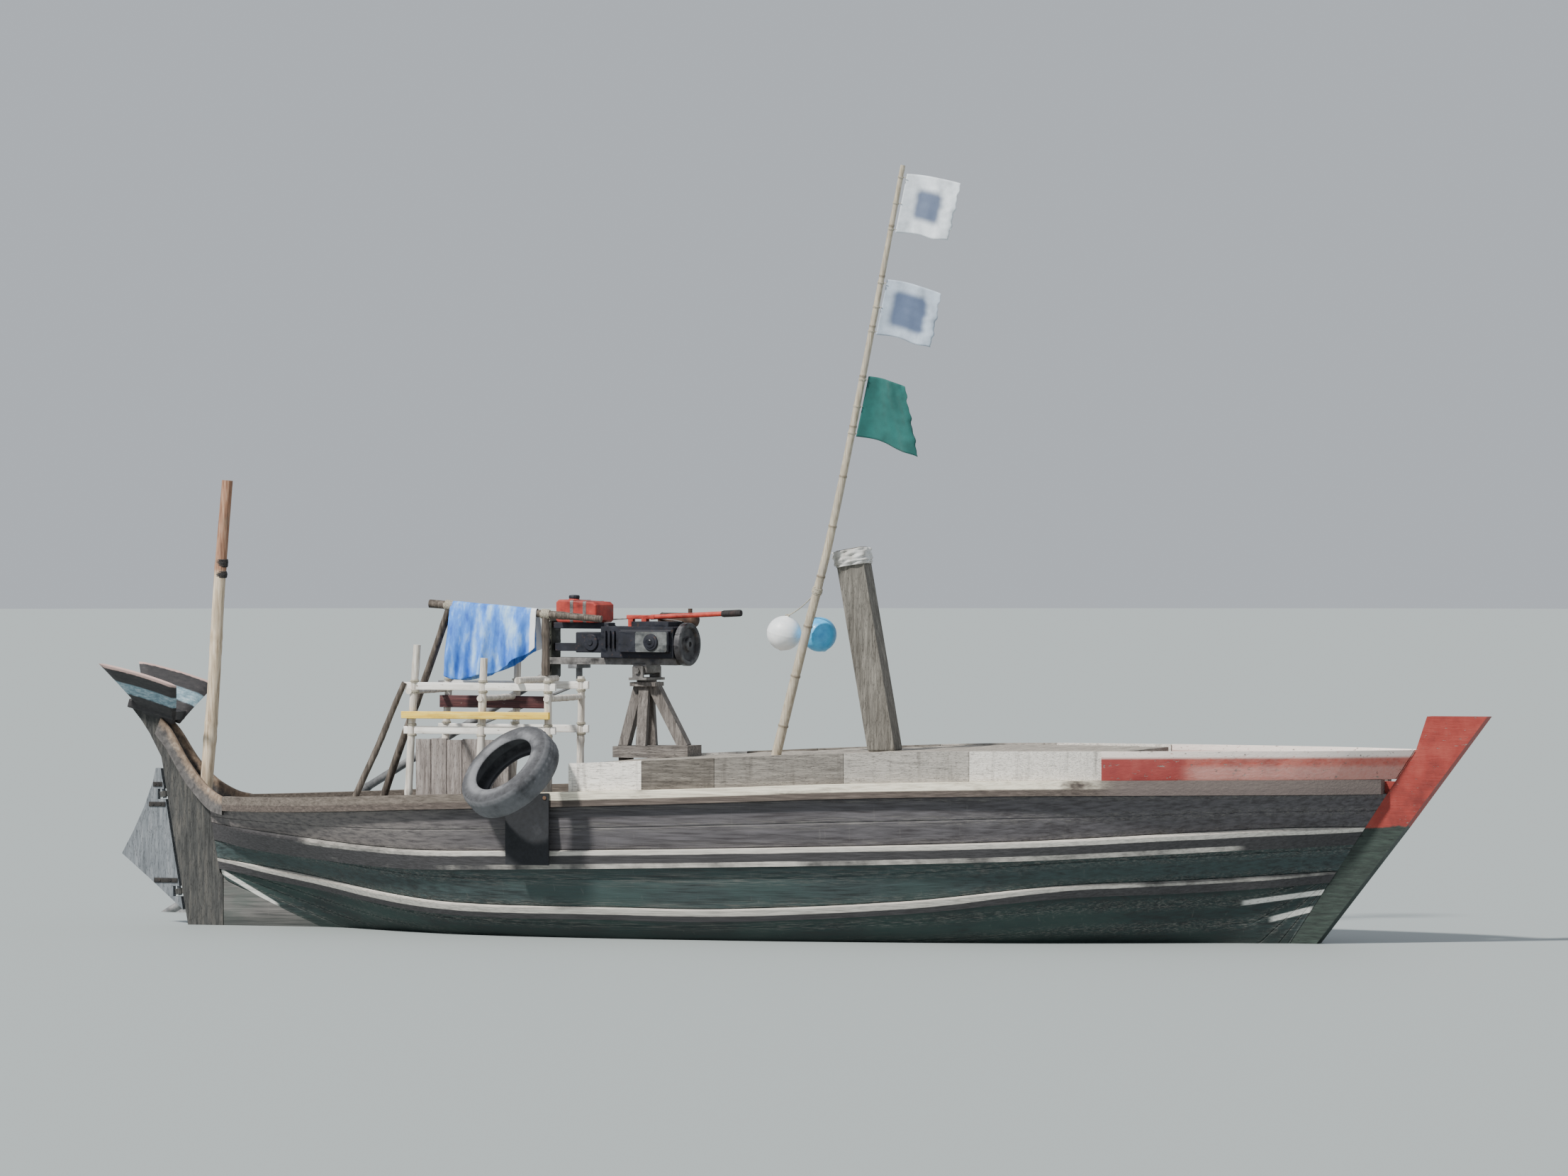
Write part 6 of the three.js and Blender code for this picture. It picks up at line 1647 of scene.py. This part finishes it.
def strap_round(x):
    """Strap: a flat ring round the tank's rounded section at x, its outer face 1.6 mm off and its inner face 1 mm
    inside the steel."""
    high = float(np.interp(x, *TANK_TOP))
    middle, half = (TANK_FOOT + high) / 2, (high - TANK_FOOT) / 2
    outer = squared(TANK_HALF + STRAP_OFF, half + STRAP_OFF, 0.012)
    inner = squared(0.104, half - 0.001, 0.011)
    edges = ((inner, -STRAP_HALF_WIDE), (outer, -STRAP_HALF_WIDE), (outer, STRAP_HALF_WIDE), (inner, STRAP_HALF_WIDE))
    rings = [np.stack([np.full(len(ring), x + dx), ring[:, 0], ring[:, 1] + middle], axis=-1) for ring, dx in edges]
    return np.stack(rings, axis=1)


bands = [at_engine(strap_round(x)) for x in STRAP_X]
dress(piece_from("tank_straps", bands, looped=True, body="engine"), greased_iron)
cap = lathed(CAP_AT, (0, 0, 1), CAP_PROFILE, sides=CAP_SIDES)
knurl = np.where(np.arange(CAP_SIDES)[None, :, None] % 4 < 2, (1, 1, 1), (0.95, 0.95, 1))
cap_axis = CAP_AT * (1, 1, 0)
cap[1:4] = cap_axis + (cap[1:4] - cap_axis) * knurl
engine_piece("tank_cap", [cap], engine_paint)


# Exhaust: a welded drum muffler beside the block with its pipe, burnt and rusty.
burnt = oily_metal("burnt_iron", (0.035, 0.022, 0.018), (0.11, 0.065, 0.045), (0.22, 0.15, 0.11), 0.65, 0.2)
DRUM_Y, STUB_X = 0.186, 0.110
DRUM_PROFILE = [  # x, radius
    (-0.020, 0.012), (-0.018, 0.030), (-0.010, 0.040), (-0.004, 0.044), (0.002, 0.0425), (0.218, 0.0425),
    (0.224, 0.044), (0.230, 0.040), (0.238, 0.030), (0.240, 0.012),
]
OUTLET_PROFILE = [(0, 0.013), (0.004, 0.013), (0.026, 0.013), (0.030, 0.0125), (0.030, 0.009), (0.010, 0.009)]
STUB = [(STUB_X, 0.150, 0.196), (STUB_X, 0.166, 0.204), (STUB_X, 0.180, 0.226), (STUB_X, DRUM_Y, 0.262)]
drum = lathed((0, DRUM_Y, 0.300), (1, 0, 0), DRUM_PROFILE, sides=36)
outlet = lathed((0.190, DRUM_Y, 0.338), (0, 0, 1), OUTLET_PROFILE, sides=20)
stub = carried(round_section(0.0148, 20), STUB, up=(1, 0, 0))
engine_piece("exhaust_drum", [drum, outlet, stub], burnt, "exhaust_muffler")


# Tiller handle: a steel tube bolted on the block, painted red, with a ribbed rubber grip on its end.
HANDLE = [(0.030, 0, 0.3177), (0.250, 0, 0.328), (0.640, 0, 0.346)]
FEET = ((-0.105, 0.015, 0.2623), (-0.010, 0.020, 0.2923))  # x, half width, foot
RIDGE_PITCH, RIDGE_HIGH = 0.0092, 0.0022
handle = [carried(round_section(0.015, 22), HANDLE)]
handle.append(carried(squared(0.017, 0.012, 0.003), [(-0.130, 0, 0.318), (0.060, 0, 0.318)]))
for x, half, low in FEET:
    handle.append(carried(squared(0.017, half, 0.002), [(x, 0, low), (x, 0, 0.312)], up=(0, 1, 0)))
handle_red = oily_metal("handle_red", (0.30, 0.030, 0.020), (0.50, 0.055, 0.035), (0.60, 0.10, 0.07))
engine_piece("tiller_tube", handle, handle_red, "tiller_handle")
grip_way = np.array((0.600, 0, 0.028)) / np.linalg.norm((0.600, 0, 0.028))
along = np.linspace(0, 0.128, 90)
ridged = (np.sin(along * 2 * np.pi / RIDGE_PITCH) > 0) * (along > 0.006) * (along < 0.122)
grip = lathed((0.522, 0, 0.3402), grip_way, np.stack([along, 0.0185 + RIDGE_HIGH * ridged], axis=1), sides=28)
grip_rubber = worn_rubber("grip_rubber", (0.02, 0.018, 0.018), (0.2, 0.07, 0.06))
engine_piece("tiller_grip", [grip], grip_rubber)


# Tail: a long steel tube from the drive case to the propeller, with a strut back to the bed, a bearing bush at
# its end and a plate skeg that guards the propeller. Grey steel all over, oily and rusted in patches.
tail_steel = oily_metal("tail_steel", (0.09, 0.095, 0.10), (0.22, 0.225, 0.23), (0.38, 0.38, 0.38), 0.5, 0.3)
TUBE_RADIUS, STRUT_X = 0.024, -0.470
TAIL_PROFILE = [  # distance down the tail, radius
    (0.052, TUBE_RADIUS), (0.060, 0.036), (0.076, 0.036), (0.080, TUBE_RADIUS), (1.500, TUBE_RADIUS),
    (1.502, 0.027), (1.540, 0.027), (1.542, TUBE_RADIUS), (TAIL_LENGTH - 0.152, TUBE_RADIUS),
    (TAIL_LENGTH - 0.148, 0.031), (TAIL_LENGTH - 0.004, 0.031), (TAIL_LENGTH, 0.028), (TAIL_LENGTH, 0.0135),
]
SKEG = ((-0.900, -0.018), (-0.042, -0.018), (-0.026, -0.215), (-0.190, -0.215))  # beyond the tail's end, above it
tail_way = (-np.cos(TAIL_DROP), 0, -np.sin(TAIL_DROP))
tail_pipe = lathed(TAIL_START, tail_way, TAIL_PROFILE, sides=32)
skeg_face = np.array([down_tail(TAIL_LENGTH + beyond, above) for beyond, above in SKEG])
skeg = np.stack([skeg_face + (0, y, 0) for y in (-0.005, -0.0035, 0.0035, 0.005)])
strut = carried(squared(0.013, 0.007, 0.002), [(STRUT_X, 0, -0.084), down_tail(0.900)])
strut_post = carried(squared(0.013, 0.016, 0.002), [(STRUT_X, 0, -0.096), (STRUT_X, 0, 0.016)], up=(1, 0, 0))
strut_plate = carried(squared(0.080, 0.0115, 0.003), [(-0.500, 0, 0.0218), (-0.440, 0, 0.0218)])
tail = [tail_pipe, skeg, strut, strut_post, strut_plate]
engine_piece("tail_pipe", tail, tail_steel, "tail_tube", smooth=35)


# Propeller: two cast bronze blades on a tapered hub, with a nut.
BLADE_ROOT, BLADE_TIP, PITCH_ROOT, PITCH_TIP, CHORD_HALF, BLADE_AFT = 0.018, 0.155, 0.95, 0.42, 0.046, 0.046
HUB_PROFILE = [  # x, radius
    (-0.078, 0.006), (-0.076, 0.011), (-0.070, 0.0145), (-0.066, 0.016), (-0.060, 0.019), (-0.040, 0.024),
    (-0.017, 0.026), (-0.008, 0.021), (-0.006, 0.012), (0.110, 0.012),
]


def propeller_blade(turn, rows=26, cols=20):
    """Blade: r runs from the hub to the tip, in rows that close up towards it, and c across the chord. The pitch
    angle falls evenly with r. The chord widens from the root by a sine and ends as an ellipse, and the thickness
    is a thin lens on it, thicker at the root."""
    u = np.sin(np.linspace(0, np.pi / 2, rows))[:, None]
    c = np.linspace(-1, 1, cols)[None]
    radius = BLADE_ROOT + u * (BLADE_TIP - BLADE_ROOT)
    pitch = PITCH_ROOT + u * (PITCH_TIP - PITCH_ROOT)
    widening = 0.62 + 0.38 * np.sin(np.pi / 2 * np.clip(u / 0.55, 0, 1))
    rounding = np.sqrt(np.maximum(1 - np.clip((u - 0.45) / 0.55, 0, 1) ** 2, 0.002))
    half = CHORD_HALF * widening * rounding * np.ones_like(c)
    lens = (1 - c**2) * (0.0042 - 0.0022 * u) + 0.0004
    faces = []
    for way in (1, -1):
        across, off = c * half, way * lens + 0.003 * (1 - c**2)
        x = across * np.sin(pitch) + off * np.cos(pitch)
        y = across * np.cos(pitch) - off * np.sin(pitch)
        faces.append(np.stack([x - BLADE_AFT, y, radius * np.ones_like(c)], axis=-1))
    x, y, z = np.moveaxis(np.concatenate([faces[0], faces[1][:, ::-1]], axis=1), -1, 0)
    cosine, sine = np.cos(turn), np.sin(turn)
    return np.stack([x, cosine * y - sine * z, sine * y + cosine * z], axis=-1)


def at_tail_end(points):
    """From the propeller's frame (aft is -X) to the engine's: a turn about Y by the drop, then to the tail's end."""
    c, s = np.cos(TAIL_DROP), np.sin(TAIL_DROP)
    x, y, z = np.moveaxis(np.asarray(points, float), -1, 0)
    return np.stack([c * x - s * z, y, s * x + c * z], axis=-1) + down_tail(TAIL_LENGTH)


casting = [lathed((0, 0, 0), (1, 0, 0), HUB_PROFILE, sides=30), *[propeller_blade(turn) for turn in (0, np.pi)]]
bronze = oily_metal("propeller_bronze", (0.16, 0.11, 0.045), (0.36, 0.26, 0.12), (0.55, 0.43, 0.24), 0.35, 0.85)
engine_piece(
    "propeller_casting", [at_tail_end(grid) for grid in casting], bronze, "propeller", body="propeller",
)


# Water level, light and camera. The boat lies with its waterline on a plain pale floor, which is open inside the
# planking, under a soft sky and one broad warm lamp. The eye is off the starboard side, a little forward, 2.5 m
# up and 48 m away.
FLOOR_RADIUS, EYE_DISTANCE, EYE_AZIMUTH, EYE_ELEVATION = 150.0, 48.0, radians(18), radians(3)
AIM, VIEW_WIDTH = (-0.06, 0.0, 2.02), 9.15


def waterline(x):
    """The water's height along the hull, which is 0 all the way."""
    return np.zeros(np.shape(x))


run = np.linspace(0, 1, 60)
shore = np.concatenate([hull_skin(side, along, waterline, -PLANK / 2) for side, along in ((-1, run), (1, run[::-1]))])
shore[:, 2] = 0
rim = FLOOR_RADIUS * shore / np.linalg.norm(shore, axis=1, keepdims=True)
loop = np.arange(len(shore))
floor_mesh = bpy.data.meshes.new("water_level")
floor_mesh.from_pydata(
    np.concatenate([shore, rim]).tolist(), [],
    np.stack([loop, loop + len(loop), np.roll(loop, -1) + len(loop), np.roll(loop, -1)], axis=-1).tolist(),
)
floor = bpy.data.objects.new("water_level", floor_mesh)
bpy.context.collection.objects.link(floor)
floor_mesh.materials.append(shader("pale_floor", 0.6, Base_Color=(0.36, 0.40, 0.40, 1))[0])

sky = bpy.data.worlds.new("soft_sky")
sky.use_nodes = True
sky.node_tree.nodes["Background"].inputs["Color"].default_value = (0.86, 0.92, 1.0, 1)
sky.node_tree.nodes["Background"].inputs["Strength"].default_value = 0.60
bpy.context.scene.world = sky
lamp = bpy.data.lights.new("high_sun", "SUN")
lamp.energy, lamp.angle, lamp.color = 5.4, radians(5), (1.0, 0.97, 0.92)
lamp_object = bpy.data.objects.new("high_sun", lamp)
lamp_object.rotation_euler = (radians(42), radians(-6), radians(-24))
bpy.context.collection.objects.link(lamp_object)

eye = np.array([
    EYE_DISTANCE * np.sin(EYE_AZIMUTH) * np.cos(EYE_ELEVATION),
    -EYE_DISTANCE * np.cos(EYE_AZIMUTH) * np.cos(EYE_ELEVATION),
    EYE_DISTANCE * np.sin(EYE_ELEVATION),
])
camera_data = bpy.data.cameras.new("camera")
camera_data.sensor_width = 36.0
camera_data.lens = camera_data.sensor_width * EYE_DISTANCE / VIEW_WIDTH
camera_data.clip_end = 500
camera = bpy.data.objects.new("camera", camera_data)
camera.location = eye
camera.rotation_euler = Vector(np.array(AIM) - eye).to_track_quat("-Z", "Y").to_euler()
bpy.context.collection.objects.link(camera)
bpy.context.scene.camera = camera
